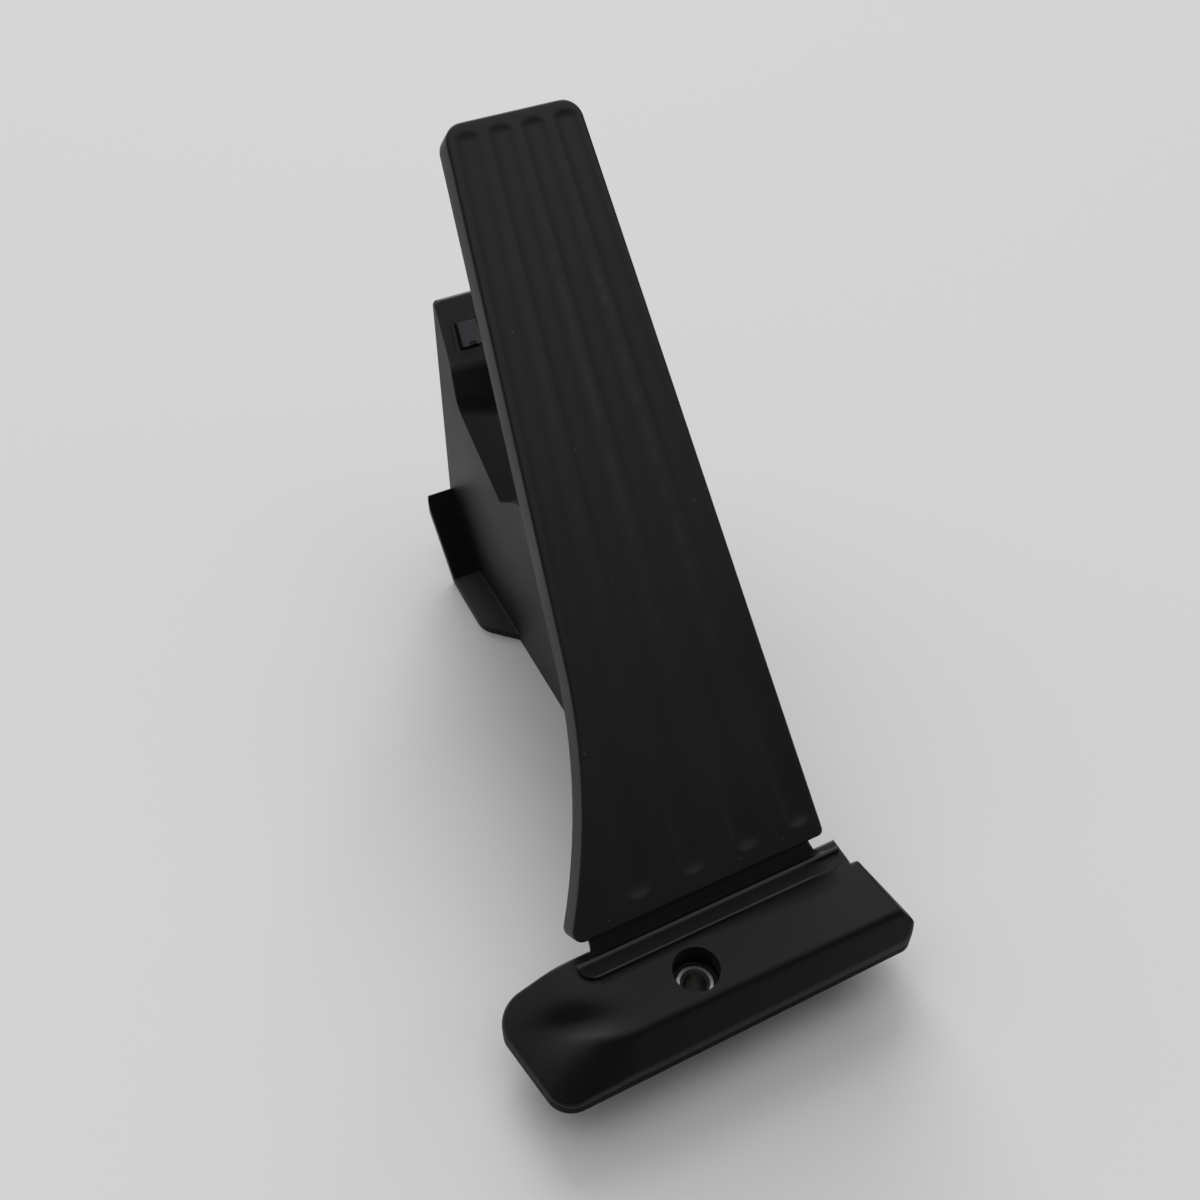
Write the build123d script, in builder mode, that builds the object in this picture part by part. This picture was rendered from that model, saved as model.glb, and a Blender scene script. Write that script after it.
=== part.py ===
"""Floor-hinged electronic accelerator pedal: fluted pad, film hinge, foot, housing and sensor lever.

Frame: origin on the axis of the foot's bolt bush, on the floor. X runs across the pad to the right,
Y runs back from the foot to the housing, Z is up. The pad is drawn released.
"""
import os
from math import asin, atan2, cos, degrees, pi, radians, sin, sqrt, tan

from build123d import *

os.makedirs("parts", exist_ok=True)

# Pedal pad
pad_angle = 44.0          # slope of the released pad above the floor, degrees
pad_travel = 15.0         # turn of the pad from released to floored, degrees
pad_length = 211.7
pad_right = 50.0          # straight right edge
pad_top_width = 38.8
pad_foot_width = 78.6
flare_height = 69.5       # where the left edge starts to sweep outwards
flare_taper = 6.5         # lean of the left edge above the flare, degrees
pad_foot_y = 16.62        # lower edge of the pad's top face
pad_foot_z = 30.96
pad_skin = 3.0
pad_wall = 2.6
pad_skirt = 8.5
pad_corner = 5.5
pad_edge = 0.5
flute_count = 4
flute_depth = 0.9
flute_top_width = 6.9
flute_foot_width = 8.3
flute_top_margin = 5.3    # outer flute to the straight edge at the top
flute_foot_margin = 6.2
flute_top_pitch = 9.4
flute_foot_pitch = 16.5
flute_top_gap = 3.0       # rim left between a flute's end and the pad's edge
flute_foot_gap = 4.9
pad_rib = 1.8
pad_rib_height = 3.4
pad_rib_pitch = 28.0

# Film hinge
hinge_y = 17.6            # axis of the bend
hinge_z = 25.6
leaf = 1.3                # thickness of the moulded leaf
web_left = -22.0
web_right = 46.0
flap_left = -28.0
flap_right = 53.0
flap_front = 9.2
flap_toe = 2.4            # blend from the flap's front edge down to the land
flap_back = 13.8
flap_corner = 4.0
web_flare = 5.0
web_crest = 16.2          # back edge of the visible web, in front of the groove that bends
web_rise = 0.8
lip_bead = 0.5
tongue_depth = 5.5        # middle of the tongue below the pad's top face
tongue_start = 2.5
tongue_length = 10.0      # leaf held under the pad
tongue_gap = 0.3
tongue_trim = 4.0         # the leaf's left end leans in clear of the pad's flared wall

# Foot
land_z = 24.5
fall_start = -30.0        # where the land turns down to the left end
fall_angle = 24.0
fall_radius = 14.0
dimple_x = -34.0          # soft thumb-shaped hollow beside the flap
dimple_y = 2.8
dimple_radius = 5.8
dimple_depth = 1.5
foot_rim_top = 14.6
foot_rim_bottom = 11.0
foot_front = -15.2
foot_crease = -8.0
crease_radius = 6.0
foot_back = 17.4
foot_back_left = -52.5
foot_front_left = -46.5
foot_back_right = 55.0
foot_front_right = 63.5
foot_left_corner = 7.5
foot_right_corner = 5.0
foot_step_x = 54.4        # notch at the back of the right end
foot_step_y = 8.8
foot_wall = 2.4
foot_edge = 0.8
foot_posts = [(-25.0, 4.0), (-16.0, -3.0), (24.0, -3.0), (44.0, 0.0)]
foot_post = 5.0
bolt_well = 12.8          # bore of the well that leads down to the bush
well_wall = 1.8
bush_bore = 6.6
bush_outer = 10.8
bush_length = 16.8
bush_edge = 0.4
bush_flare = 0.8
boss_outer = 16.0
beam_left = -40.0
beam_right = 50.0
beam_front = -9.0
beam_back = 11.0
beam_thick = 5.0
part_gap = 0.3            # clearance between parts that are only clipped together

# Housing
wall_left = 14.2
wall_right = 47.6
shell = 2.5
drum_y = 128.5            # lever axis
drum_z = 41.5
drum_radius = 28.6
ramp_angle = 50.6         # where the ramp to the deck leaves the drum, degrees
valley_y = 155.2          # lowest point between ramp and deck
valley_radius = 4.0
body_bend_y = 182.0       # where the floor of the housing turns up to the toe board
body_back_y = 205.0
body_back_z = 23.0
toe_radius = 2.8
tower_set = 4.6           # front edge of the tower's top, ahead of the back wall
tower_top = 1.5
tower_edge = 0.5
tower_z = 104.8
tower_run = 18.9          # front of the tower, from its foot on the deck to its top
tower_foot_z = 69.6
tower_fill = 6.8          # thickness of the tower's front behind the recess
recess_rise = 18.6        # left end of the recess's upper edge above the tower's foot
recess_turn = 13.7        # the recess's back wall faces forward, turned to the left and tilted up, degrees
recess_tilt = 12.0
recess_fillet = 8.0
tower_corner = 2.0
catch_x = 8.7             # snap catch on the tower's face, across from the left wall and up from the deck
catch_v = 27.6
catch_width = 8.6
catch_height = 8.6
catch_pocket = 1.2
catch_rim = 1.2
catch_rim_height = 0.4
catch_gap = 1.1
catch_nose = 2.2
neck_front = 19.0
neck_front_z = 18.0
neck_back_z = 34.0
neck_rib = 1.8
neck_rib_count = 3
wing_left = 4.2
wing_front = 146.0
wing_thick = 2.6
wing_nose = 9.8
wing_corner = 9.0
wing_tip = 4.5            # corner at the wing's upper end
cover_thick = 2.6
cover_edge = 0.35
screw_places = [(105.0, 8.0), (172.0, 8.0), (195.6, 30.0), (197.0, 88.0), (170.0, 56.6)]
screw_boss = 6.2
screw_shank = 2.4
screw_head = 5.0
screw_head_height = 1.8
screw_length = 12.0
seal_inset = 0.7          # sealing cord in the rim of the housing
seal_width = 1.1
seal_depth = 1.0

# Lever and sensor
nose_depth = 12.56        # centre of the sliding nose below the released pad's top face
lever_start = 86.0        # direction of the arm with the pad released, degrees from +Y
lever_ratio = 2.35        # lever turn for each degree of pad turn
nose_radius = 5.0
nose_width = 12.0
arm_width = 9.0
arm_root = 12.0
arm_tip = 8.4
lever_x = 30.0            # middle of the arm
hub_radius = 11.0
hub_left = 19.6
hub_right = 40.6
heel_reach = 24.0         # spring arm behind the hub
heel_depth = 9.0
heel_width = 16.0
shaft_radius = 3.0
shaft_run = 0.05
shaft_left = 15.4
shaft_right = 49.2
shaft_boss = 7.0
shaft_boss_end = 18.6
cover_boss = 5.5
cover_boss_end = 41.7
washer_thick = 0.7
bearing_wall = 1.4
bearing_length = 6.0
magnet_thick = 1.4
magnet_inner = 6.7
magnet_outer = 10.6
board_left = 44.0
board_thick = 1.6
board_front = 110.0
board_margin = 2.8        # board beyond the last contacts
board_bottom = 20.0
board_top = 52.0
board_post = 5.0
board_post_inset = 4.0
board_post_set = 23.0     # post beside the connector
chip_size = 5.0
chip_thick = 1.2
chip_radius = 8.6
spring_y = drum_y + 17.5
outer_spring_radius = 7.2
outer_spring_wire = 1.7
outer_spring_turns = 6
inner_spring_radius = 4.0
inner_spring_wire = 1.1
inner_spring_turns = 8
coil_steps = 10           # straight steps in one turn of a spring
wire_sides = 5
seat_radius = 9.2
seat_height = 2.2
seat_lip = 1.4
spring_gap = 0.3
slot_left = 21.5
slot_right = 38.5
slot_reach = 20.0         # slot beyond the arm's limits, degrees
stop_inner = 23.2
stop_outer = 30.0
stop_gap = 0.3
connector_set = 22.0      # middle of the connector, ahead of the back wall
connector_z = 42.0
socket_width = 25.0
socket_height = 12.0
socket_depth = 15.0
socket_wall = 1.6
pin_size = 0.9
pin_pitch = 4.2
pin_reach = 9.0
rail_left = 26.4
rail_right = 33.6
rail_wall = 2.4
guide_wall = 2.0
guide_clear = 1.5
nose_gap = 0.3

# Derived places
along = Vector(0, cos(radians(pad_angle)), sin(radians(pad_angle)))
normal = Vector(0, -sin(radians(pad_angle)), cos(radians(pad_angle)))
pad_plane = Plane(origin=(0, pad_foot_y, pad_foot_z), x_dir=(1, 0, 0), z_dir=normal)
axis_depth = (drum_y - pad_foot_y) * sin(radians(pad_angle)) - (drum_z - pad_foot_z) * cos(radians(pad_angle))
lever_reach = (axis_depth - nose_depth) / sin(radians(lever_start - pad_angle))
cover_right = wall_right + cover_thick
neck_back = drum_y - drum_radius
ramp_y = drum_y + drum_radius * cos(radians(ramp_angle))
ramp_z = drum_z + drum_radius * sin(radians(ramp_angle))
valley_z = ramp_z - (valley_y - ramp_y) / tan(radians(ramp_angle))
tower_y = body_back_y - tower_set
tower_foot_y = tower_y - tower_run
recess_reach = 2 * (tower_z - tower_foot_z)
toe_slope = atan2(body_back_z, body_back_y - body_bend_y)
slot_front = lever_start + slot_reach
slot_back = lever_start - lever_ratio * pad_travel - slot_reach
tower_lean = atan2(tower_z - tower_foot_z, tower_y - tower_foot_y)
tower_normal = Vector(0, -sin(tower_lean), cos(tower_lean))
tower_plane = Plane(origin=(wall_left, tower_foot_y, tower_foot_z), x_dir=(1, 0, 0), z_dir=tower_normal)
recess_normal = Vector(0, -1, 0).rotate(Axis.X, -recess_tilt).rotate(Axis.Z, -recess_turn)
recess_plane = Plane(origin=(wall_left, tower_foot_y + recess_rise / tan(tower_lean), tower_foot_z + recess_rise),
                     x_dir=tower_normal.cross(recess_normal), z_dir=recess_normal)
board_right = board_left + board_thick
connector_y = body_back_y - connector_set
board_back = connector_y + pin_pitch + board_margin
board_posts = [(board_front + board_post_inset, board_bottom + board_post_inset),
               (board_back - board_post_inset, board_bottom + board_post_inset),
               (board_front + board_post_inset, board_top - board_post_inset),
               (connector_y - board_post_set, board_top - board_post_inset)]


def pad_place(x, t, depth):
    """Point at x across and t up the pad, depth below its top face."""
    return pad_plane.origin + Vector(x, 0, 0) + along * t - normal * depth


def pad_side(x):
    """Plane across X at x, with its own X up the pad and its Y out of the top face."""
    return Plane(origin=pad_place(x, 0, 0), x_dir=along, z_dir=(1, 0, 0))


def turned(y, z, centre_y, centre_z, angle):
    """Point y, z turned about a centre in the YZ plane."""
    c, s = cos(radians(angle)), sin(radians(angle))
    dy, dz = y - centre_y, z - centre_z
    return centre_y + c * dy - s * dz, centre_z + s * dy + c * dz


def nose_on_pad(press):
    """Where the lever's nose lies under the pad, as t and depth, with the pad pressed by that angle."""
    direction = radians(lever_start - lever_ratio * press)
    y, z = drum_y + lever_reach * cos(direction), drum_z + lever_reach * sin(direction)
    y, z = turned(y, z, hinge_y, hinge_z, press)
    offset_from_foot = Vector(0, y - pad_foot_y, z - pad_foot_z)
    return offset_from_foot.dot(along), -offset_from_foot.dot(normal)


def pad_outline(plane, inset):
    """Tapered pad outline with a straight right edge and a left edge that sweeps out at the foot."""
    flare_x = pad_right - pad_top_width - (pad_length - flare_height) * tan(radians(flare_taper))
    with BuildSketch(plane) as outline:
        with BuildLine():
            right = Line((pad_right, 0), (pad_right, pad_length))
            top = Line(right @ 1, (pad_right - pad_top_width, pad_length))
            left = Line(top @ 1, (flare_x, flare_height))
            flare = TangentArc(left @ 1, (pad_right - pad_foot_width, 0), tangent=left % 1)
            Line(flare @ 1, right @ 0)
        make_face()
        fillet(outline.vertices().group_by(Axis.Y)[-1], pad_corner)
        fillet(outline.vertices().group_by(Axis.Y)[0].sort_by(Axis.X)[0], pad_corner / 2)
        fillet(outline.vertices().group_by(Axis.Y)[0].sort_by(Axis.X)[-1], pad_corner / 3)
        if inset:
            offset(amount=-inset)
    return outline.sketch


def flute_cutter(index):
    """Tapered round-ended cutter for one flute, two balls joined by a cone."""
    widths = (flute_foot_width, flute_top_width)
    radii = [(w * w / 4 + flute_depth ** 2) / (2 * flute_depth) for w in widths]
    foot_x = pad_right - flute_foot_margin - index * flute_foot_pitch
    top_x = pad_right - flute_top_margin - index * flute_top_pitch
    foot = pad_place(foot_x, flute_foot_gap + widths[0] / 2, flute_depth - radii[0])
    top = pad_place(top_x, pad_length - flute_top_gap - widths[1] / 2, flute_depth - radii[1])
    reach = (top - foot).length
    lean = asin((radii[0] - radii[1]) / reach)
    run = (top - foot).normalized()
    axis_plane = Plane(origin=foot, x_dir=run, z_dir=run.cross(normal))
    with BuildPart() as cutter:
        with BuildSketch(axis_plane):
            with BuildLine():
                low = CenterArc((0, 0), radii[0], 180, -90 - degrees(lean))
                Line(low @ 1, (reach + radii[1] * sin(lean), radii[1] * cos(lean)))
                high = CenterArc((reach, 0), radii[1], 90 - degrees(lean), degrees(lean) - 90)
                Line(high @ 1, low @ 0)
            make_face()
        revolve(axis=Axis(foot, run))
    return cutter.part


with BuildPart() as pedal_pad:
    extrude(pad_outline(pad_plane, 0), amount=-pad_skirt)
    top_face = pedal_pad.faces().sort_by(Axis(pad_plane.origin, normal))[-1]
    chamfer(top_face.edges(), pad_edge)
    extrude(pad_outline(pad_plane.offset(-pad_skin), pad_wall), amount=-pad_skirt, mode=Mode.SUBTRACT)
    for index in range(flute_count):
        add(flute_cutter(index), mode=Mode.SUBTRACT)
    # Cross ribs behind the skin
    with BuildSketch(pad_plane.offset(-pad_skin)) as ribs:
        rib_rows = int((pad_length - pad_rib_pitch) / pad_rib_pitch)
        for row in range(rib_rows):
            with Locations((0, (row + 1) * pad_rib_pitch)):
                Rectangle(4 * pad_length, pad_rib)
        add(pad_outline(Plane.XY, pad_wall / 2), mode=Mode.INTERSECT)
    extrude(amount=-pad_rib_height)
    # Two rails that the lever's nose slides on, and a guide rib outside each
    low, middle, high = (nose_on_pad(press) for press in (-2, pad_travel / 2, pad_travel + 2))
    rail_points = [(t, -(depth - nose_radius - nose_gap)) for t, depth in (low, middle, high)]
    for rail_x in (rail_left, rail_right):
        with BuildSketch(pad_side(rail_x - rail_wall / 2)):
            with BuildLine():
                track = ThreePointArc(*rail_points)
                Polyline(track @ 1, (high[0], -pad_skin / 2), (low[0], -pad_skin / 2), track @ 0)
            make_face()
        extrude(amount=rail_wall)
    guide_reach = nose_width / 2 + guide_clear
    for guide_x in (lever_x - guide_reach - guide_wall, lever_x + guide_reach):
        with BuildSketch(pad_side(guide_x)) as guide:
            with BuildLine():
                Polyline((low[0] - 12, -pad_skin / 2), (high[0] + 10, -pad_skin / 2),
                         (high[0] + 6, -middle[1]), (low[0] - 4, -middle[1]), close=True)
            make_face()
            fillet(guide.vertices().group_by(Axis.Y)[0], 3)
        extrude(amount=guide_wall)
    # The lower wall is open where the hinge leaf passes under the skin
    with BuildSketch(pad_plane.offset(-pad_skin)):
        with Locations(((web_left + web_right) / 2, 0)):
            Rectangle(web_right - web_left + 2, 4 * pad_wall)
    extrude(amount=-pad_skirt, mode=Mode.SUBTRACT)
    # Land under the skin that the leaf's tongue lies against
    with BuildSketch(pad_plane.offset(-pad_skin)):
        with Locations(((web_left + tongue_trim + web_right) / 2, (tongue_start + tongue_length) / 2)):
            Rectangle(web_right - web_left - tongue_trim, tongue_length - tongue_start)
    extrude(amount=pad_skin + tongue_gap + leaf / 2 - tongue_depth)
pedal_pad.part.label = "pedal_pad"
export_step(pedal_pad.part, "parts/pedal_pad.step")

# Film hinge: flap on the foot, web, bending groove, tongue under the pad
web_top = pad_place(0, 0, tongue_depth)
tongue_end = pad_place(0, tongue_length, tongue_depth)
lip_back = flap_back + leaf / 2
with BuildPart() as hinge_leaf:
    with BuildSketch(Plane.YZ.offset(flap_left)) as leaf_profile:
        with BuildLine():
            spine = Polyline((flap_front, land_z + leaf / 2), (flap_back, land_z + leaf / 2),
                             (web_crest, land_z + leaf / 2 + web_rise), (hinge_y, land_z + leaf / 2),
                             (web_top.Y, web_top.Z), (tongue_end.Y, tongue_end.Z))
            offset(spine, amount=leaf / 2, side=Side.BOTH)
        make_face()
        with BuildLine():
            Polyline((flap_front - flap_toe, land_z), (flap_front + leaf, land_z),
                     (flap_front + leaf, land_z + leaf), (flap_front, land_z + leaf / 2), close=True)
        make_face()
        with Locations((flap_back, land_z + leaf)):
            Circle(lip_bead)
    extrude(amount=flap_right - flap_left)
    with BuildSketch() as plan:
        with BuildLine():
            Polyline((flap_left, flap_front - flap_toe), (flap_right, flap_front - flap_toe), (flap_right, lip_back),
                     (web_right, lip_back), (web_right, tongue_end.Y + leaf),
                     (web_left + tongue_trim, tongue_end.Y + leaf), (web_left, web_top.Y),
                     (web_left, lip_back), (flap_left, lip_back), close=True)
        make_face()
        lip_ends = plan.vertices().filter_by(lambda v: abs(v.Y - lip_back) < 0.01)
        fillet(lip_ends.filter_by(lambda v: web_left - 1 < v.X < web_right + 1), web_flare)
        fillet(plan.vertices().group_by(Axis.Y)[0], flap_corner)
    extrude(amount=2 * land_z, mode=Mode.INTERSECT)
hinge_leaf.part.label = "hinge_leaf"
export_step(hinge_leaf.part, "parts/hinge_leaf.step")


def foot_block(inset, floor):
    """Foot outline raised to the land, falling away at the left end, with a front face sloped to the rim."""
    slope = atan2(land_z - foot_rim_top, foot_crease - foot_front)
    drop = inset / cos(slope)
    with BuildPart() as block:
        with BuildSketch(Plane.XY.offset(floor)) as outline:
            with BuildLine():
                Polyline((foot_back_left, foot_back), (foot_back_right, foot_back),
                         (foot_front_right, foot_front), (foot_front_left, foot_front), close=True)
            make_face()
            corners = outline.vertices().sort_by(Axis.X)
            fillet(corners[:2], foot_left_corner)
            corners = outline.vertices().sort_by(Axis.X)
            fillet(corners[-1], foot_right_corner)
            if inset:
                offset(amount=-inset)
        extrude(amount=land_z - inset - floor)
        # Level land that bends down to the left end
        with BuildSketch(Plane.XZ.offset(-2 * foot_back)):
            with BuildLine():
                level = Line((2 * foot_front_right, land_z - inset), (fall_start, land_z - inset))
                bend = JernArc(level @ 1, (-1, 0), fall_radius - inset, fall_angle)
                fall = Line(bend @ 1, bend @ 1 + (bend % 1) * foot_front_right)
                Polyline(fall @ 1, ((fall @ 1).X, 2 * land_z), (2 * foot_front_right, 2 * land_z), level @ 0)
            make_face()
        extrude(amount=4 * foot_back, mode=Mode.SUBTRACT)
        with BuildSketch(Plane.YZ.offset(2 * foot_back_left)):
            run = 2 * (foot_crease - foot_front)
            rise = (land_z - foot_rim_top) * 2
            with BuildLine():
                Polyline((foot_crease + run, land_z + rise - drop), (foot_crease - run, land_z - rise - drop),
                         (foot_crease - run, land_z + rise - drop), close=True)
            make_face()
        extrude(amount=4 * foot_front_right, mode=Mode.SUBTRACT)
    return block.part


with BuildPart() as foot_cover:
    add(foot_block(0, foot_rim_bottom))
    upper = foot_cover.edges().filter_by(lambda e: e.center().Z > foot_rim_top + 1 and e.center().Y < dimple_y)
    fillet(upper.filter_by(lambda e: abs((e % 0.5).X) > 0.85), crease_radius)
    rim_faces = foot_cover.faces().filter_by(lambda f: abs(f.normal_at().Z) < 0.05)
    rim_edges = ShapeList([e for f in rim_faces for e in f.edges().filter_by(Axis.Z, reverse=True)])
    chamfer(rim_edges.filter_by(lambda e: e.center().Z > foot_rim_bottom + 1), foot_edge)
    add(foot_block(foot_wall, foot_rim_bottom - 1), mode=Mode.SUBTRACT)
    with Locations((0, 0, bush_length)):
        Cylinder(bolt_well / 2 + well_wall, land_z - bush_length - foot_wall / 2,
                 align=(Align.CENTER, Align.CENTER, Align.MIN))
    with Locations(*[(x, y, foot_rim_bottom) for x, y in foot_posts]):
        Box(foot_post, foot_post, land_z - foot_wall / 2 - foot_rim_bottom,
            align=(Align.CENTER, Align.CENTER, Align.MIN))
    with Locations((0, 0, bush_length - 1)):
        Cylinder(bolt_well / 2, 2 * land_z, align=(Align.CENTER, Align.CENTER, Align.MIN), mode=Mode.SUBTRACT)
    dimple_ball = (dimple_radius ** 2 + dimple_depth ** 2) / (2 * dimple_depth)
    dimple_top = land_z - fall_radius + sqrt(fall_radius ** 2 - (dimple_x - fall_start) ** 2)
    with Locations((dimple_x, dimple_y, dimple_top - dimple_depth + dimple_ball)):
        Sphere(dimple_ball, mode=Mode.SUBTRACT)
    with Locations((foot_step_x, foot_step_y, 0)):
        Box(foot_front_right, foot_back, 2 * land_z, align=(Align.MIN, Align.MIN, Align.MIN), mode=Mode.SUBTRACT)
    # The neck of the housing enters below the back wall
    with BuildSketch(Plane.XY.offset(foot_rim_bottom - 1)):
        with Locations(((wall_left + cover_right) / 2, foot_back)):
            Rectangle(cover_right - wall_left + 4 * part_gap, 6 * foot_wall)
    extrude(amount=neck_front_z + 2 * part_gap - foot_rim_bottom + 1, mode=Mode.SUBTRACT)
foot_cover.part.label = "foot_cover"
export_step(foot_cover.part, "parts/foot_cover.step")

with BuildPart() as foot_bush:
    Cylinder(bush_outer / 2, bush_length, align=(Align.CENTER, Align.CENTER, Align.MIN))
    chamfer(foot_bush.edges().group_by(Axis.Z)[-1], bush_edge)
    Hole(bush_bore / 2)
    chamfer(foot_bush.edges().group_by(Axis.Z)[-1].sort_by(SortBy.LENGTH)[0], bush_flare)
foot_bush.part.label = "foot_bush"
export_step(foot_bush.part, "parts/foot_bush.step")


def housing_side(plane, inset):
    """Side outline of the housing: floor, toe-board slope, tower, deck, valley, ramp and round drum."""
    with BuildSketch(plane) as side:
        with BuildLine():
            Polyline((neck_back, drum_z), (neck_back, 0), (body_bend_y, 0), (body_back_y, body_back_z),
                     (tower_y + tower_top, tower_z), (tower_y, tower_z), (tower_foot_y, tower_foot_z),
                     (valley_y, valley_z), (ramp_y, ramp_z))
            CenterArc((drum_y, drum_z), drum_radius, ramp_angle, 180 - ramp_angle)
        make_face()
        fillet(side.vertices().sort_by_distance((valley_y, valley_z))[0], valley_radius)
        fillet(side.vertices().sort_by_distance((body_back_y, body_back_z))[0], toe_radius)
        fillet(side.vertices().group_by(Axis.Y)[-1], tower_edge)
        if inset:
            offset(amount=-inset)
    return side.sketch


def sector(plane, angle_from, angle_to, inner, outer):
    """Piece of a ring about the lever axis, with straight radial ends."""
    with BuildSketch(plane) as ring:
        with Locations((drum_y, drum_z)):
            Circle(outer)
            Circle(inner, mode=Mode.SUBTRACT)
        far = 2 * outer
        with BuildLine():
            Polyline((drum_y, drum_z),
                     (drum_y + far * cos(radians(angle_from)), drum_z + far * sin(radians(angle_from))),
                     (drum_y + far * cos(radians(angle_to)), drum_z + far * sin(radians(angle_to))), close=True)
        make_face(mode=Mode.INTERSECT)
    return ring.sketch


def arm_outline(plane, press, grow):
    """Tapered outline of the lever's arm with the pad pressed by that angle."""
    direction = radians(lever_start - lever_ratio * press)
    ahead = Vector(cos(direction), sin(direction))
    side = Vector(-sin(direction), cos(direction))
    axis_at = Vector(drum_y, drum_z)
    tip = axis_at + ahead * lever_reach
    with BuildSketch(plane) as arm:
        with BuildLine():
            Polyline(axis_at + side * arm_root / 2, tip + side * arm_tip / 2,
                     tip - side * arm_tip / 2, axis_at - side * arm_root / 2, close=True)
        make_face()
        if grow:
            offset(amount=grow)
    return arm.sketch


with BuildPart() as base_housing:
    extrude(housing_side(Plane.YZ.offset(wall_left), 0), amount=wall_right - wall_left)
    extrude(housing_side(Plane.YZ.offset(wall_left + shell), shell), amount=wall_right, mode=Mode.SUBTRACT)
    # Thick front of the tower, cut back by a slanted recess that the deck runs into
    with BuildSketch(Plane.YZ.offset(wall_left)):
        with BuildLine():
            fill_rise = recess_rise + shell / 2
            fill_run = fill_rise / tan(tower_lean)
            Polyline((tower_foot_y, tower_foot_z), (tower_foot_y + shell, tower_foot_z - shell),
                     (tower_foot_y + shell + tower_fill, tower_foot_z - shell),
                     (tower_foot_y + fill_run + tower_fill, tower_foot_z + fill_rise),
                     (tower_foot_y + fill_run, tower_foot_z + fill_rise), close=True)
        make_face()
    extrude(amount=wall_right - wall_left)
    with BuildPart(mode=Mode.PRIVATE) as recess:
        with BuildSketch(recess_plane):
            Rectangle(6 * recess_reach, recess_reach, align=(Align.CENTER, Align.MAX))
        extrude(amount=recess_reach)
        deck_run = tower_foot_y - valley_y
        deck_rise = tower_foot_z - valley_z
        with BuildSketch(Plane.YZ.offset(-recess_reach)):
            with BuildLine():
                Polyline((tower_foot_y - deck_run, tower_foot_z - deck_rise),
                         (tower_foot_y + deck_run, tower_foot_z + deck_rise),
                         (tower_foot_y + deck_run, tower_z), (tower_foot_y - deck_run, tower_z), close=True)
            make_face()
        extrude(amount=recess_reach + wall_right, mode=Mode.INTERSECT)
        recess_back = recess.faces().sort_by(Axis(recess_plane.origin, recess_normal))[0]
        fillet(recess_back.edges().sort_by(Axis.Z)[0], recess_fillet)
    add(recess.part, mode=Mode.SUBTRACT)
    # Rounded left corner of the tower's top
    with BuildSketch(Plane.XZ.offset(-2 * body_back_y)):
        with Locations((wall_left, tower_z)):
            Rectangle(tower_corner, tower_corner, align=(Align.MIN, Align.MAX))
        with Locations((wall_left + tower_corner, tower_z - tower_corner)):
            Circle(tower_corner, mode=Mode.SUBTRACT)
    extrude(amount=2 * body_back_y, mode=Mode.SUBTRACT)
    # Pocket for the snap catch, with a raised rim round three sides
    with BuildSketch(tower_plane):
        with Locations((catch_x, catch_v)):
            RectangleRounded(catch_width + 2 * catch_rim, catch_height + 2 * catch_rim, 2 * catch_rim)
            with Locations((0, catch_rim)):
                Rectangle(catch_width, catch_height + 2 * catch_rim, mode=Mode.SUBTRACT)
    extrude(amount=catch_rim_height)
    with BuildSketch(tower_plane):
        with Locations((catch_x, catch_v)):
            Rectangle(catch_width, catch_height)
    extrude(amount=-catch_pocket, mode=Mode.SUBTRACT)
    # Slot in the drum for the lever's arm
    extrude(sector(Plane.YZ.offset(slot_left), slot_back, slot_front, hub_radius + 2, 2 * drum_radius),
            amount=slot_right - slot_left, mode=Mode.SUBTRACT)
    # Bosses for the lever shaft and the cover screws
    with BuildSketch(Plane.YZ.offset(wall_left + shell / 2)):
        with Locations((drum_y, drum_z)):
            Circle(shaft_boss)
    extrude(amount=shaft_boss_end - wall_left - shell / 2)
    with BuildSketch(Plane.YZ.offset(wall_left + shell / 2)):
        with Locations(*screw_places):
            Circle(screw_boss / 2)
        add(housing_side(Plane.XY, shell / 2), mode=Mode.INTERSECT)
    extrude(amount=wall_right - wall_left - shell / 2)
    with BuildSketch(Plane.YZ.offset(shaft_left)):
        with Locations((drum_y, drum_z)):
            Circle(shaft_radius)
    extrude(amount=hub_left - shaft_left, mode=Mode.SUBTRACT)
    with BuildSketch(Plane.YZ.offset(wall_right)):
        with Locations(*screw_places):
            Circle(screw_shank / 2)
    extrude(amount=cover_thick - screw_length, mode=Mode.SUBTRACT)
    # Groove for the sealing cord
    with BuildSketch(Plane.YZ.offset(wall_right)):
        add(housing_side(Plane.XY, seal_inset))
        add(housing_side(Plane.XY, seal_inset + seal_width), mode=Mode.SUBTRACT)
    extrude(amount=-seal_depth, mode=Mode.SUBTRACT)
    # Hollow neck with cross ribs, between the drum and the foot
    with BuildSketch(Plane.YZ.offset(wall_left)):
        with BuildLine():
            Polyline((neck_front, 0), (neck_back, 0), (neck_back, neck_back_z), (neck_front, neck_front_z),
                     close=True)
        make_face()
    extrude(amount=cover_right - wall_left)
    with BuildSketch(Plane.YZ.offset(wall_left + shell)):
        with BuildLine():
            Polyline((neck_front + shell, -1), (neck_back - shell, -1), (neck_back - shell, neck_back_z - 1.5 * shell),
                     (neck_front + shell, neck_front_z - shell), close=True)
        make_face()
        with Locations(*[(neck_front + (neck_back - neck_front) * (rib + 1) / (neck_rib_count + 1), 0)
                         for rib in range(neck_rib_count)]):
            Rectangle(neck_rib, 4 * neck_back_z, mode=Mode.SUBTRACT)
    extrude(amount=cover_right - wall_left - 2 * shell, mode=Mode.SUBTRACT)
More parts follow.
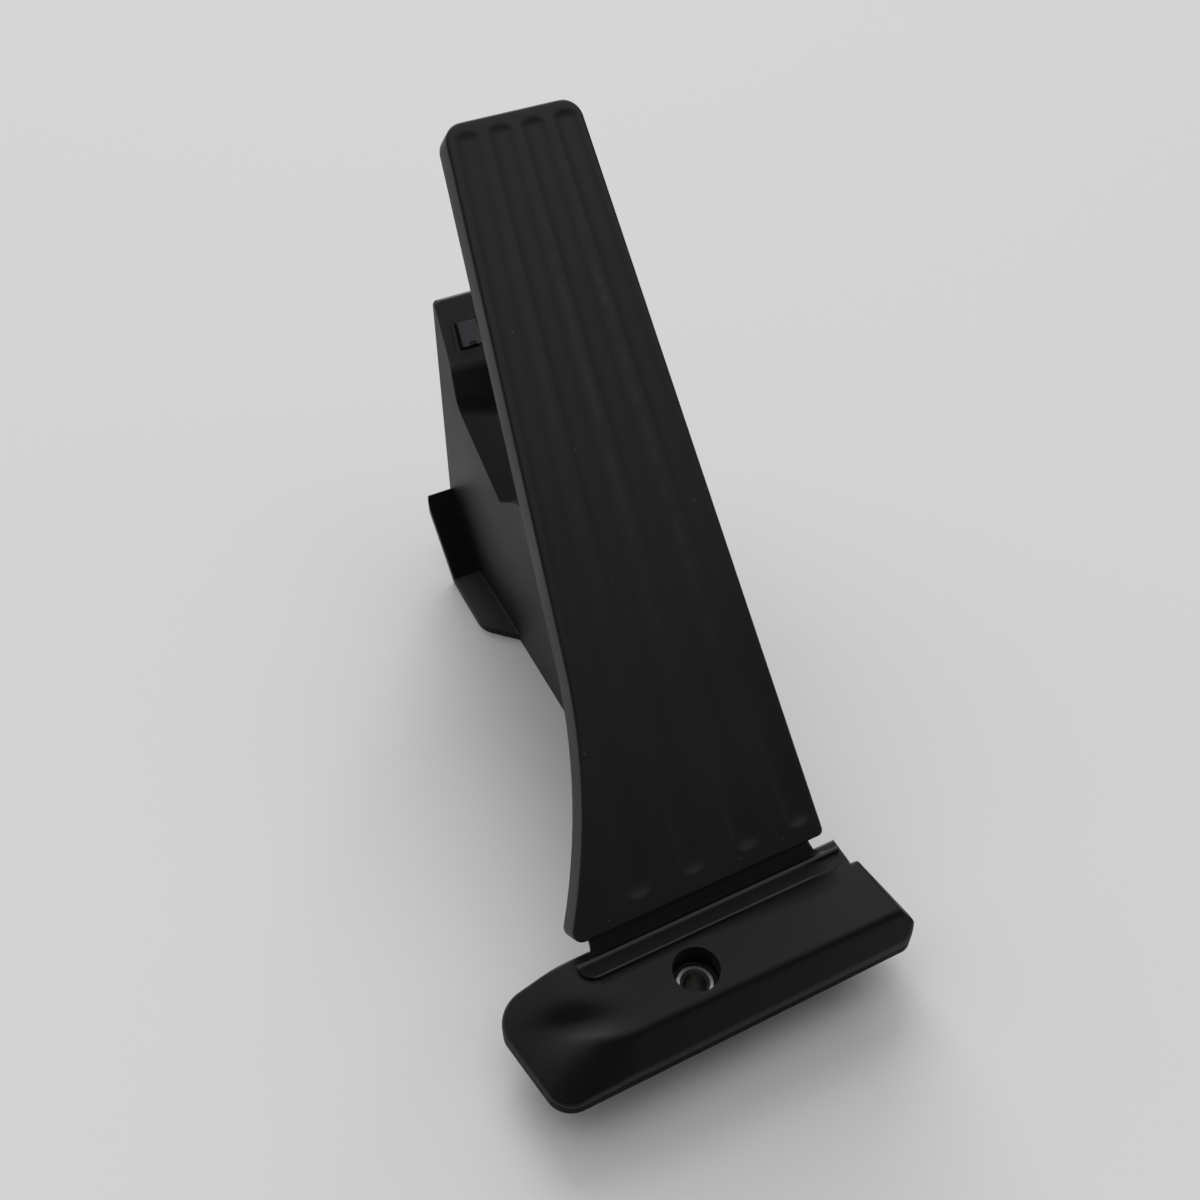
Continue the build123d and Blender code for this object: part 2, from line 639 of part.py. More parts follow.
    # Frame under the foot: cross beam, bolt boss and the bar that joins them to the neck
    beam_z = foot_rim_bottom - beam_thick
    with BuildSketch(Plane.XY.offset(beam_z)) as beam:
        with BuildLine():
            Polyline((beam_left, beam_front), (beam_right, beam_front), (beam_right, beam_back),
                     (beam_left, beam_back), close=True)
        make_face()
        fillet(beam.vertices(), beam_thick)
        with Locations(((wall_left + cover_right) / 2, (beam_front + neck_front) / 2)):
            Rectangle(cover_right - wall_left - 2 * shell, neck_front - beam_front + shell)
    extrude(amount=beam_thick)
    Cylinder(boss_outer / 2, bush_length, align=(Align.CENTER, Align.CENTER, Align.MIN))
    Cylinder(bush_outer / 2, 4 * bush_length, mode=Mode.SUBTRACT)
    # Wing beside the left wall: level in front, then bent up with the toe board
    with BuildPart(mode=Mode.PRIVATE) as wing:
        bend = wing_thick * tan(toe_slope / 2)
        with BuildSketch(Plane.YZ.offset(wing_left)) as wing_side:
            with BuildLine():
                Polyline((wing_front, 0), (body_bend_y, 0), (body_back_y, body_back_z),
                         (body_back_y - wing_thick * sin(toe_slope), body_back_z + wing_thick * cos(toe_slope)),
                         (body_bend_y - bend, wing_thick), (wing_front, wing_thick), close=True)
            make_face()
        extrude(amount=wall_left + shell / 2 - wing_left)
        with BuildSketch() as wing_plan:
            with BuildLine():
                Polyline((wing_left, wing_front + wing_nose), (wall_left, wing_front), (wall_left + shell / 2, wing_front),
                         (wall_left + shell / 2, body_back_y), (wing_left, body_back_y), close=True)
            make_face()
            wing_ends = wing_plan.vertices().sort_by(Axis.X)[:2].sort_by(Axis.Y)
            fillet(wing_ends[0], wing_corner)
            fillet(wing_plan.vertices().sort_by_distance((wing_left, body_back_y))[0], wing_tip)
        extrude(amount=2 * body_back_z, mode=Mode.INTERSECT)
    add(wing.part)
base_housing.part.label = "base_housing"
export_step(base_housing.part, "parts/base_housing.step")

with BuildPart() as latch_catch:
    with BuildSketch(Plane(origin=tower_plane.origin + Vector(catch_x - catch_width / 2 + catch_gap, 0, 0),
                           x_dir=tower_plane.y_dir, z_dir=(1, 0, 0))):
        with BuildLine():
            Polyline((catch_v - catch_height / 2 + catch_gap, -catch_pocket), (catch_v + catch_height / 2, -catch_pocket),
                     (catch_v + catch_height / 2, 0), (catch_v - catch_height / 2 + catch_gap, catch_nose), close=True)
        make_face()
    extrude(amount=catch_width - 2 * catch_gap)
    with Locations(tower_plane):
        with Locations((catch_x, catch_v - catch_height / 2 + catch_gap, catch_nose)):
            Box(2 * catch_gap, 2 * catch_gap, 2 * catch_gap, mode=Mode.SUBTRACT)
latch_catch.part.label = "latch_catch"
export_step(latch_catch.part, "parts/latch_catch.step")

with BuildPart() as cover_seal:
    with BuildSketch(Plane.YZ.offset(wall_right)):
        add(housing_side(Plane.XY, seal_inset))
        add(housing_side(Plane.XY, seal_inset + seal_width), mode=Mode.SUBTRACT)
    extrude(amount=-seal_depth)
cover_seal.part.label = "cover_seal"
export_step(cover_seal.part, "parts/cover_seal.step")

# Plugs of the connector, as offsets along Y and Z from its middle
pin_places = [(connector_y + (column - 1) * pin_pitch, connector_z + (row - 0.5) * pin_pitch)
              for column in range(3) for row in range(2)]

with BuildPart() as housing_cover:
    extrude(housing_side(Plane.YZ.offset(wall_right), 0), amount=cover_thick)
    outer_face = housing_cover.faces().sort_by(Axis.X)[-1]
    chamfer(outer_face.edges(), cover_edge)
    # Shroud of the connector
    with BuildSketch(Plane.YZ.offset(wall_right + cover_thick / 2)):
        with Locations((connector_y, connector_z)):
            RectangleRounded(socket_width, socket_height, 2 * socket_wall)
    extrude(amount=socket_depth + cover_thick / 2)
    with BuildSketch(Plane.YZ.offset(cover_right)):
        with Locations((connector_y, connector_z)):
            RectangleRounded(socket_width - 2 * socket_wall, socket_height - 2 * socket_wall, socket_wall)
    extrude(amount=2 * socket_depth, mode=Mode.SUBTRACT)
    with BuildSketch(Plane.YZ.offset(cover_right + socket_depth * 0.6)):
        with Locations((connector_y, connector_z + socket_height / 2 + socket_wall / 4)):
            Rectangle(socket_width / 4, socket_wall)
    extrude(amount=socket_depth / 4)
    # Boss for the shaft, posts for the board
    with BuildSketch(Plane.YZ.offset(cover_boss_end)):
        with Locations((drum_y, drum_z)):
            Circle(cover_boss)
    extrude(amount=wall_right + cover_thick / 2 - cover_boss_end)
    with BuildSketch(Plane.YZ.offset(board_right)):
        with Locations(*board_posts):
            Rectangle(board_post, board_post)
    extrude(amount=wall_right + cover_thick / 2 - board_right)
    with BuildSketch(Plane.YZ.offset(cover_boss_end)):
        with Locations((drum_y, drum_z)):
            Circle(shaft_radius)
    extrude(amount=shaft_right - cover_boss_end, mode=Mode.SUBTRACT)
    with BuildSketch(Plane.YZ.offset(wall_right)):
        with Locations(*screw_places):
            Circle(screw_shank / 2)
        with Locations(*pin_places):
            Rectangle(pin_size, pin_size)
    extrude(amount=cover_thick, mode=Mode.SUBTRACT)
housing_cover.part.label = "housing_cover"
export_step(housing_cover.part, "parts/housing_cover.step")

with BuildPart() as cover_screws:
    with BuildSketch(Plane.YZ.offset(cover_right)):
        with Locations(*screw_places):
            Circle(screw_shank / 2)
    extrude(amount=-screw_length)
    with BuildSketch(Plane.YZ.offset(cover_right)):
        with Locations(*screw_places):
            RegularPolygon(screw_head / 2, 6)
    extrude(amount=screw_head_height)
cover_screws.part.label = "cover_screws"
export_step(cover_screws.part, "parts/cover_screws.step")

with BuildPart() as sensor_board:
    with BuildSketch(Plane.YZ.offset(board_left)) as board:
        with BuildLine():
            Polyline((board_front, board_bottom), (board_back, board_bottom), (board_back, board_top),
                     (board_front, board_top), close=True)
        make_face()
        fillet(board.vertices(), 2)
        with Locations((drum_y, drum_z)):
            Circle(cover_boss + 1, mode=Mode.SUBTRACT)
        with Locations(*pin_places):
            Rectangle(pin_size, pin_size, mode=Mode.SUBTRACT)
    extrude(amount=board_thick)
sensor_board.part.label = "sensor_board"
export_step(sensor_board.part, "parts/sensor_board.step")

with BuildPart() as sensor_chip:
    with BuildSketch(Plane.YZ.offset(board_left - chip_thick)):
        with Locations((drum_y, drum_z + chip_radius)):
            Rectangle(chip_size, chip_size)
    extrude(amount=chip_thick)
sensor_chip.part.label = "sensor_chip"
export_step(sensor_chip.part, "parts/sensor_chip.step")

with BuildPart() as connector_pins:
    with BuildSketch(Plane.YZ.offset(board_left)):
        with Locations(*pin_places):
            Rectangle(pin_size, pin_size)
    extrude(amount=cover_right + pin_reach - board_left)
    chamfer(connector_pins.faces().group_by(Axis.X)[-1].edges(), pin_size / 4)
connector_pins.part.label = "connector_pins"
export_step(connector_pins.part, "parts/connector_pins.step")

# Lever: hub, arm with a round nose under the pad, heel on the springs
nose_at = (drum_y + lever_reach * cos(radians(lever_start)), drum_z + lever_reach * sin(radians(lever_start)))
bearing_radius = shaft_radius + shaft_run + bearing_wall
with BuildPart() as lever:
    extrude(arm_outline(Plane.YZ.offset(lever_x - arm_width / 2), 0, 0), amount=arm_width)
    with BuildSketch(Plane.YZ.offset(hub_left)):
        with Locations((drum_y, drum_z)):
            Circle(hub_radius)
    extrude(amount=hub_right - hub_left)
    with BuildSketch(Plane.YZ.offset(lever_x - nose_width / 2)):
        with Locations(nose_at):
            Circle(nose_radius)
    extrude(amount=nose_width)
    with BuildSketch(Plane.YZ.offset(lever_x - heel_width / 2)) as heel:
        with BuildLine():
            Polyline((drum_y, drum_z + heel_depth / 2), (drum_y + heel_reach, drum_z + heel_depth / 2),
                     (drum_y + heel_reach, drum_z - heel_depth / 2), (drum_y, drum_z - heel_depth / 2), close=True)
        make_face()
        fillet(heel.vertices().group_by(Axis.X)[-1], heel_depth / 4)
    extrude(amount=heel_width)
    with BuildSketch(Plane.YZ.offset(hub_left)):
        with Locations((drum_y, drum_z)):
            Circle(bearing_radius)
    extrude(amount=hub_right - hub_left, mode=Mode.SUBTRACT)
lever.part.label = "lever"
export_step(lever.part, "parts/lever.step")

with BuildPart() as lever_bushes:
    with BuildSketch(Plane.YZ.offset(hub_left), Plane.YZ.offset(hub_right - bearing_length)):
        with Locations((drum_y, drum_z)):
            Circle(bearing_radius)
            Circle(shaft_radius + shaft_run, mode=Mode.SUBTRACT)
    extrude(amount=bearing_length)
lever_bushes.part.label = "lever_bushes"
export_step(lever_bushes.part, "parts/lever_bushes.step")

with BuildPart() as lever_magnet:
    with BuildSketch(Plane.YZ.offset(hub_right)):
        with Locations((drum_y, drum_z)):
            Circle(magnet_outer)
            Circle(magnet_inner, mode=Mode.SUBTRACT)
    extrude(amount=magnet_thick)
lever_magnet.part.label = "lever_magnet"
export_step(lever_magnet.part, "parts/lever_magnet.step")

with BuildPart() as lever_shaft:
    with BuildSketch(Plane.YZ.offset(shaft_left)):
        with Locations((drum_y, drum_z)):
            Circle(shaft_radius)
    extrude(amount=shaft_right - shaft_left)
lever_shaft.part.label = "lever_shaft"
export_step(lever_shaft.part, "parts/lever_shaft.step")

with BuildPart() as friction_washers:
    with BuildSketch(Plane.YZ.offset(shaft_boss_end)):
        with Locations((drum_y, drum_z)):
            Circle(shaft_boss)
            Circle(shaft_radius, mode=Mode.SUBTRACT)
    with BuildSketch(Plane.YZ.offset(cover_boss_end - washer_thick)):
        with Locations((drum_y, drum_z)):
            Circle(cover_boss)
            Circle(shaft_radius, mode=Mode.SUBTRACT)
    extrude(amount=washer_thick)
friction_washers.part.label = "friction_washers"
export_step(friction_washers.part, "parts/friction_washers.step")

with BuildPart() as spring_seat:
    with Locations((lever_x, spring_y, shell)):
        Cylinder(seat_radius, seat_height + seat_lip, align=(Align.CENTER, Align.CENTER, Align.MIN))
    with Locations((lever_x, spring_y, shell + seat_height)):
        Cylinder(seat_radius - 0.9, seat_height, align=(Align.CENTER, Align.CENTER, Align.MIN), mode=Mode.SUBTRACT)
        Cylinder(inner_spring_radius - inner_spring_wire, 3 * seat_lip, align=(Align.CENTER, Align.CENTER, Align.MIN))
spring_seat.part.label = "spring_seat"
export_step(spring_seat.part, "parts/spring_seat.step")

spring_foot = shell + seat_height
spring_head = drum_z - heel_depth / 2 - spring_gap


def coil(radius, wire, turns):
    """Compression spring standing on its seat under the heel."""
    height = spring_head - spring_foot - wire
    steps = turns * coil_steps
    angles = [2 * pi * step / coil_steps for step in range(steps + 1)]
    with BuildPart() as spring:
        with BuildLine() as path:
            Polyline(*[(lever_x + radius * cos(angle), spring_y + radius * sin(angle),
                        spring_foot + wire / 2 + height * angle / angles[-1]) for angle in angles])
        with BuildSketch(Plane(origin=path.line @ 0, z_dir=path.line % 0)):
            RegularPolygon(wire / 2, wire_sides)
        sweep(transition=Transition.RIGHT)
    return spring.part


with BuildPart() as outer_spring:
    add(coil(outer_spring_radius, outer_spring_wire, outer_spring_turns))
outer_spring.part.label = "outer_spring"
export_step(outer_spring.part, "parts/outer_spring.step")

with BuildPart() as inner_spring:
    add(coil(inner_spring_radius, inner_spring_wire, inner_spring_turns))
inner_spring.part.label = "inner_spring"
export_step(inner_spring.part, "parts/inner_spring.step")

with BuildPart() as idle_stop:
    with BuildSketch(Plane.YZ.offset(slot_left + part_gap)):
        add(sector(Plane.XY, lever_start, slot_front, stop_inner, stop_outer))
        add(arm_outline(Plane.XY, 0, stop_gap), mode=Mode.SUBTRACT)
    extrude(amount=slot_right - slot_left - 2 * part_gap)
idle_stop.part.label = "idle_stop"
export_step(idle_stop.part, "parts/idle_stop.step")

with BuildPart() as full_stop:
    with BuildSketch(Plane.YZ.offset(slot_left + part_gap)):
        add(sector(Plane.XY, slot_back, slot_back + slot_reach, stop_inner, stop_outer))
        add(arm_outline(Plane.XY, pad_travel, stop_gap), mode=Mode.SUBTRACT)
    extrude(amount=slot_right - slot_left - 2 * part_gap)
full_stop.part.label = "full_stop"
export_step(full_stop.part, "parts/full_stop.step")
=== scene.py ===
"""Dresses the accelerator pedal: fluted pad, film hinge, springs, fastenings, finishes and the studio."""
import math

import bmesh
import bpy
import numpy as np
from mathutils import Matrix, Vector
from mathutils.geometry import delaunay_2d_cdt


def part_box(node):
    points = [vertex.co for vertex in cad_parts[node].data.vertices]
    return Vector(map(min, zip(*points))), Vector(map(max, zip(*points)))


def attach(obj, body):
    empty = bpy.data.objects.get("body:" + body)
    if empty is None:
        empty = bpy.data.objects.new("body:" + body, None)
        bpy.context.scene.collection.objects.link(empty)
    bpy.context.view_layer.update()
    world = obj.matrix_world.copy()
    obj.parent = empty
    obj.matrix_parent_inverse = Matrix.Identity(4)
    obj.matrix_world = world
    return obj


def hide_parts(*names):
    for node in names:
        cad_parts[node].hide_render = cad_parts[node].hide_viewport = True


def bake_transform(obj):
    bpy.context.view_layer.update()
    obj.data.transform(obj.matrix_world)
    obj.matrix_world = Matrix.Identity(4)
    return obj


bl_info = {
    "name": "Accelerator pedal",
    "version": (1, 0, 0),
    "blender": (4, 5, 0),
    "location": "View3D > Sidebar > Pedal",
    "description": "Finishes and detail for a floor-hinged accelerator pedal",
    "category": "Object",
}

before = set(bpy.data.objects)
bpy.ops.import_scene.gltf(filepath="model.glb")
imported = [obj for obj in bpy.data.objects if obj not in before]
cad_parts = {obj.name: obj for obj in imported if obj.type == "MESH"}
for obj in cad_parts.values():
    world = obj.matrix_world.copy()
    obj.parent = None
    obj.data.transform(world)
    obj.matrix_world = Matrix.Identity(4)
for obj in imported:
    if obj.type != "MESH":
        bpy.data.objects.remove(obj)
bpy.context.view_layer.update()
MM = 0.001

# The released pad's top face: slope, lower edge, directions up and out of it, length, straight right edge, round
# of its edge, and depth of the skin that is renewed
PAD_SLOPE = math.radians(44.0)
PAD_FOOT = Vector((0, 16.62, 30.96)) * MM
PAD_UP = Vector((0, math.cos(PAD_SLOPE), math.sin(PAD_SLOPE)))
PAD_OUT = Vector((0, -math.sin(PAD_SLOPE), math.cos(PAD_SLOPE)))
PAD_LENGTH = 211.7 * MM
PAD_RIGHT = 50.0 * MM
PAD_ROUND = 0.85 * MM
PAD_SKIN = 1.0 * MM

# Flutes: settings that the tree takes, softness of a lip, part of the length over which a flute grows shallower,
# and how far below the top face a point still counts as on it
FLUTE_INPUTS = ("Count", "Depth", "Foot Depth", "Top Width", "Foot Width", "Top Pitch", "Foot Pitch", "Top Margin",
                "Foot Margin", "Top Gap", "Foot Gap", "Top End", "Foot End")
FLUTE_LIP = 0.06
FLUTE_SHALLOWS = 0.45
ON_TOP = -0.01 * MM

# Wear and dust on the pad as ranges, first the part of its length and then the amount there. A dust line is as wide
# as DUST_LINE says, and the lines fade out so far past the last flute, in flutes
WEAR_ALONG = (0.05, 0.55, 0.3, 1.0)
DUST_ALONG = (0.25, 0.6, 0.1, 1.0)
DUST_TOP = (0.97, 0.8, 0.0, 1.0)
DUST_LINE = (0.4 * MM, 1.5 * MM, 1.0, 0.0)
DUST_PAST_LAST = 0.6

# Renewed skins: how close points merge, turns of a rounded edge in degrees, room left beside the grid as a share of
# its step and beside a ring as a share of its inset, and how rubbed the side, the rounded edge and the skin are
MERGE = 0.002 * MM
ROUND_TURNS = (25, 50, 75, 90)
GRID_ROOM, RING_ROOM = 0.6, 0.8
RUBBED_SIDE, RUBBED_EDGE, RUBBED_SKIN = 0.0, 1.0, 0.4
# Triangles: only those inside the border, and how close two flat points count as one
INSIDE_BORDER, NEAREST = 1, 1e-9

# Foot in mm: level land, falls at its left and right ends, and a crease along its front that is straight and then
# an arc about a middle point. CREASE_FADE gives the slope's share by the degrees turned round that point
LAND = 24.5
FALL = {"from": -32.98, "steep": math.tan(math.radians(24)), "soft": 2.0}
SIDE = {"from": 57.2, "lean": 0.107, "steep": 1.5, "soft": 0.8}
CREASE = {"y": -8.8, "lean": -0.0246, "middle": (-20.0, 16.0), "rim": -15.2, "drop": 9.9, "soft": 1.2,
          "softer": 25}
CREASE_FADE = ((0, 1.0), (20, 0.77), (30, 0.44), (33, 0.355), (37, 0.265), (42, 0.18), (46, 0.145), (60, 0.12),
               (76, 0.03), (84, 0.0))
HOLLOW = {"at": (-34.3, 1.6), "along": (0.915, -0.403), "deep": 2.8, "long": 6.6, "back": 2.6, "front": 4.2}
# Its mesh: spacing, round of its edge, the underside's lowest height and how far that is lowered, and the upright
# part of a face's normal from which it looks up or down
FOOT_STEP, FOOT_ROUND = 0.8 * MM, 0.8 * MM
FOOT_UNDERSIDE = (14 * MM, 1.5 * MM)
LOOKS_UP, LOOKS_DOWN = 0.1, -0.5

# Film hinge in mm: upper section from the flap's toe over its front edge and bead to the web, as Y and Z
LEAF_SECTION = ((6.8, 24.5), (7.5, 24.55), (8.1, 24.7), (8.5, 24.9), (8.75, 25.12), (8.92, 25.34), (9.02, 25.42),
                (9.32, 25.54), (9.5, 25.56), (10.2, 25.52), (11.0, 25.54), (12.0, 25.62), (12.8, 25.72),
                (13.2, 25.76), (13.35, 25.82), (13.9, 26.08), (14.02, 26.1), (14.14, 26.02), (14.25, 25.84),
                (14.45, 25.72), (15.2, 25.68), (16.2, 25.72), (17.1, 25.84), (17.9, 26.1), (18.6, 26.5),
                (19.3, 27.02))
TONGUE_STEPS, TONGUE_DEPTH, TONGUE_TRIM = (0.0, 3.5, 7.0, 10.0), 4.85, 4.0
WEB_FROM, WEB_THICK, WEB_ENDS, WEB_FLARE = 16.5, 1.25, (-22.0, 46.0), 5.0
FLAP_ENDS, FLAP_CORNER, FLAP_CORNER_Y, FLAP_BACK, LIP_Y = (-28.0, 53.0), 4.0, 9.1, 13.1, 14.2
# The toe reaches further forward to the right, and the flap sinks into the land at its right end
TOE_BACK, TOE_FRONT, TOE_GROWS, TOE_ACROSS = 9.02, 6.82, 2.8, (8.0, 38.0)
SINK_ACROSS, SINK_SHARE = (40.0, 49.0), 0.85
# Rows that are rubbed shiny and how much less where the flap sinks, then the flap and what its toe and the web add
FRONT_EDGE, BEAD, LESS_WHERE_SUNK = (9.0, 9.4), (13.3, 14.1), 0.77
RUBBED_FLAP, RUBBED_MORE = 0.07, 0.16
# Its mesh: points across, and how close they merge
LEAF_STATIONS, LEAF_MERGE = 61, 0.0001 * MM

# Where the springs stand under the lever's heel, and how finely their wire is drawn
SPRING_FOOT = Vector((30.0, 146.0, 4.7)) * MM
SPRING_HEAD = Vector((30.0, 146.0, 36.7)) * MM
SPRING_STEPS, WIRE_SIDES = 28, 10

# Cover screws: places along Y and Z in mm, seat of their flanges along X, their plain sizes and their sides
SCREW_PLACES = ((105.0, 8.0), (172.0, 8.0), (195.6, 30.0), (197.0, 88.0), (170.0, 56.6))
SCREW_SEAT = 50.2 * MM
SCREW_SHANK, FLANGE_THICK, HEAD_TALL = 1.2 * MM, 0.6 * MM, 1.1 * MM
FLANGE_SIDES, HEAD_SIDES, SHANK_SIDES = 32, 6, 24

# Patterns in the finishes: where most of a noise lies, cloud size, then specks, dust streaks, the painted light on
# the tower's upper faces by height and by how squarely a face looks out, and samples for a softened edge
NOISE_SPAN = (0.3, 0.7)
CLOUD = 35 * MM
SPECK_SPACING, SPECK_CELLS, SPECK_SIZE, SPECK_SHARE = 5 * MM, 0.72, 0.045, 0.35
STREAK, STREAK_SPAN, STREAK_SHARE = 6 * MM, (0.4, 0.62), (0.01, 0.1)
PAINTED_LIGHT_FROM, PAINTED_LIGHT_FACING, PAINTED_LIGHT_SHARE = (84 * MM, 87 * MM), (0.6, 0.8), 0.19
BEVEL_SAMPLES = 6

# Studio: where each soft light lies and how close to it a direction is when the light comes in and is full, the
# height at which the room's own light ends, the tint, the window's aim and spread, and the table
BACK_TOWARDS, BACK_SPAN, BACK_LEAST = (-0.1, 0.79, 0.6), (0.3, 0.86), 0.04
CEILING_TOWARDS, CEILING_SPAN = (0.35, -0.22, 0.91), (0.8, 0.98)
FILL_TOWARDS, FILL_SPAN = (-0.45, -0.6, 0.66), (0.82, 0.95)
ROOM_HEIGHT = 0.26
STUDIO_TINT = "#F8F8FA"
WINDOW_AIM, WINDOW_SPREAD = Vector((-0.3, -0.83, -0.45)), math.radians(45)
TABLE_HALF, TABLE_ROUGH, TABLE_GLOSS = 4.0, 0.8, 0.15

# Camera: its place and axes, worked out from straight edges in the photograph, its sensor in mm and nearest reach
CAMERA_AT = Vector((-0.09594, -0.13455, 0.3376))
CAMERA_RIGHT = Vector((0.8933, -0.4495, 0))
CAMERA_DOWN = Vector((-0.3267, -0.6491, -0.6870))
CAMERA_LOOK = Vector((0.3088, 0.6137, -0.7266))
CAMERA_SENSOR, CAMERA_NEAR = 36, 0.01


def srgb(hex_code):
    """Linear RGBA of an sRGB hex colour."""
    values = [int(hex_code[i:i + 2], 16) / 255 for i in (1, 3, 5)]
    linear = [v / 12.92 if v <= 0.04045 else ((v + 0.055) / 1.055) ** 2.4 for v in values]
    return (*linear, 1.0)


def put(tree, kind, *values, named=None, **settings):
    """Adds a node with its settings, then fills its inputs in order or by name with numbers, sockets or nodes."""
    node = tree.nodes.new(kind)
    for name, value in settings.items():
        setattr(node, name, value)
    inputs = dict(enumerate(values))
    inputs.update(named or {})
    for key, value in inputs.items():
        if isinstance(value, bpy.types.Node):
            value = value.outputs[0]
        if isinstance(value, bpy.types.NodeSocket):
            tree.links.new(value, node.inputs[key])
        elif value is not None:
            node.inputs[key].default_value = value
    return node


def ramp(value, start, end):
    """Share of the way from start to end, kept between 0 and 1."""
    return min(max((value - start) / (end - start), 0.0), 1.0)


def colour(name, description, hex_code):
    """Colour setting of a finish."""
    return bpy.props.FloatVectorProperty(name=name, description=description, subtype="COLOR", size=4,
                                         min=0.0, max=1.0, default=srgb(hex_code))


def length(name, description, millimetres):
    """Length setting of a piece."""
    return bpy.props.FloatProperty(name=name, description=description, unit="LENGTH", precision=5,
                                   default=millimetres * MM)


def amount(name, description, default):
    """Plain positive number: the brightness of a light or the turns of a spring."""
    return bpy.props.FloatProperty(name=name, description=description, subtype="UNSIGNED", min=0.0,
                                   default=default)


class PedalFinishes(bpy.types.PropertyGroup):
    pad: colour("Pad", "Colour of the moulded pad", "#121213")
    housing: colour("Housing", "Colour of the housing mouldings", "#121213")
    foot: colour("Foot", "Colour of the foot moulding", "#111112")
    leaf: colour("Hinge leaf", "Colour of the film hinge", "#111112")
    # Painted highlight: the snap latch is pale grey for the light its upward ramp catches
    lit_catch: colour("Catch", "Colour of the snap catch", "#5A5A5E")
    lever: colour("Lever", "Colour of the lever", "#141415")
    dust: colour("Dust", "Colour of the dust on the pad", "#8E877F")
    # Painted light: a pale tint for the tower's upper faces, standing in for light falling there
    painted_light: colour("Film", "Colour of the thin film of dust on the tower", "#97979C")
    bearing: colour("Bearings", "Colour of the bushes and washers", "#D9D6CC")
    steel: colour("Steel", "Colour of the plated bush, shaft and screws", "#A5A4A0")
    wire: colour("Spring wire", "Colour of the springs", "#8E8E90")
    rubber: colour("Rubber", "Colour of the seal and stops", "#111112")
    board: colour("Board", "Colour of the sensor board", "#12452B")
    chip: colour("Chip", "Colour of the sensor chip", "#0E0E0F")
    tin: colour("Contacts", "Colour of the plug's contacts", "#CFC8B4")
    magnet: colour("Magnet", "Colour of the sensor magnet", "#3A3A3C")


class PedalFlutes(bpy.types.PropertyGroup):
    count: bpy.props.IntProperty(name="Flutes", description="Number of flutes in the pad", subtype="UNSIGNED",
                                 default=4, min=1)
    depth: length("Depth", "Depth of a flute", 0.58)
    foot_depth: length("Foot depth", "Depth of a flute at the pad's foot", 0.8)
    top_width: length("Top width", "Width of a flute at the pad's top", 6.9)
    foot_width: length("Foot width", "Width of a flute at the pad's foot", 8.3)
    top_pitch: length("Top pitch", "Spacing of the flutes at the pad's top", 9.4)
    foot_pitch: length("Foot pitch", "Spacing of the flutes at the pad's foot", 16.5)
    top_margin: length("Top margin", "Middle of the outer flute to the straight edge, at the top", 5.3)
    foot_margin: length("Foot margin", "Middle of the outer flute to the straight edge, at the foot", 6.2)
    top_gap: length("Top gap", "End of a flute to the pad's top edge", 3.0)
    foot_gap: length("Foot gap", "End of a flute to the pad's foot edge", 4.9)
    top_end: length("Top end", "Length of a flute's rounded end at the top", 2.0)
    foot_end: length("Foot end", "Length of a flute's rounded end at the foot", 3.6)
    step: length("Mesh step", "Spacing of the pad's mesh", 0.55)


class PedalFastenings(bpy.types.PropertyGroup):
    outer_radius: length("Outer spring radius", "Middle of the outer spring's wire from its axis", 7.2)
    outer_wire: length("Outer spring wire", "Thickness of the outer spring's wire", 1.7)
    outer_turns: amount("Outer spring turns", "Turns of the outer spring", 6)
    inner_radius: length("Inner spring radius", "Middle of the inner spring's wire from its axis", 4.0)
    inner_wire: length("Inner spring wire", "Thickness of the inner spring's wire", 1.1)
    inner_turns: amount("Inner spring turns", "Turns of the inner spring", 8)
    flange: length("Screw flange", "Radius of a screw's flange", 2.45)
    head: length("Screw head", "Radius of a screw's hexagon", 1.9)


class PedalStage(bpy.types.PropertyGroup):
    lens: bpy.props.FloatProperty(name="Lens", description="Focal length of the camera", unit="CAMERA",
                                  default=39.0)
    floor: colour("Table", "Colour of the table", "#E1E1E1")
    key: amount("Window", "Strength of the soft light from behind", 1.9)
    back: amount("Backdrop", "Brightness of the studio behind", 1.1)
    patch: amount("Ceiling", "Brightness of the patch overhead", 0.66)
    fill: amount("Fill", "Brightness of the soft fill at the front left", 0.12)
    horizon: amount("Room", "Brightness of the room at table height", 0.25)


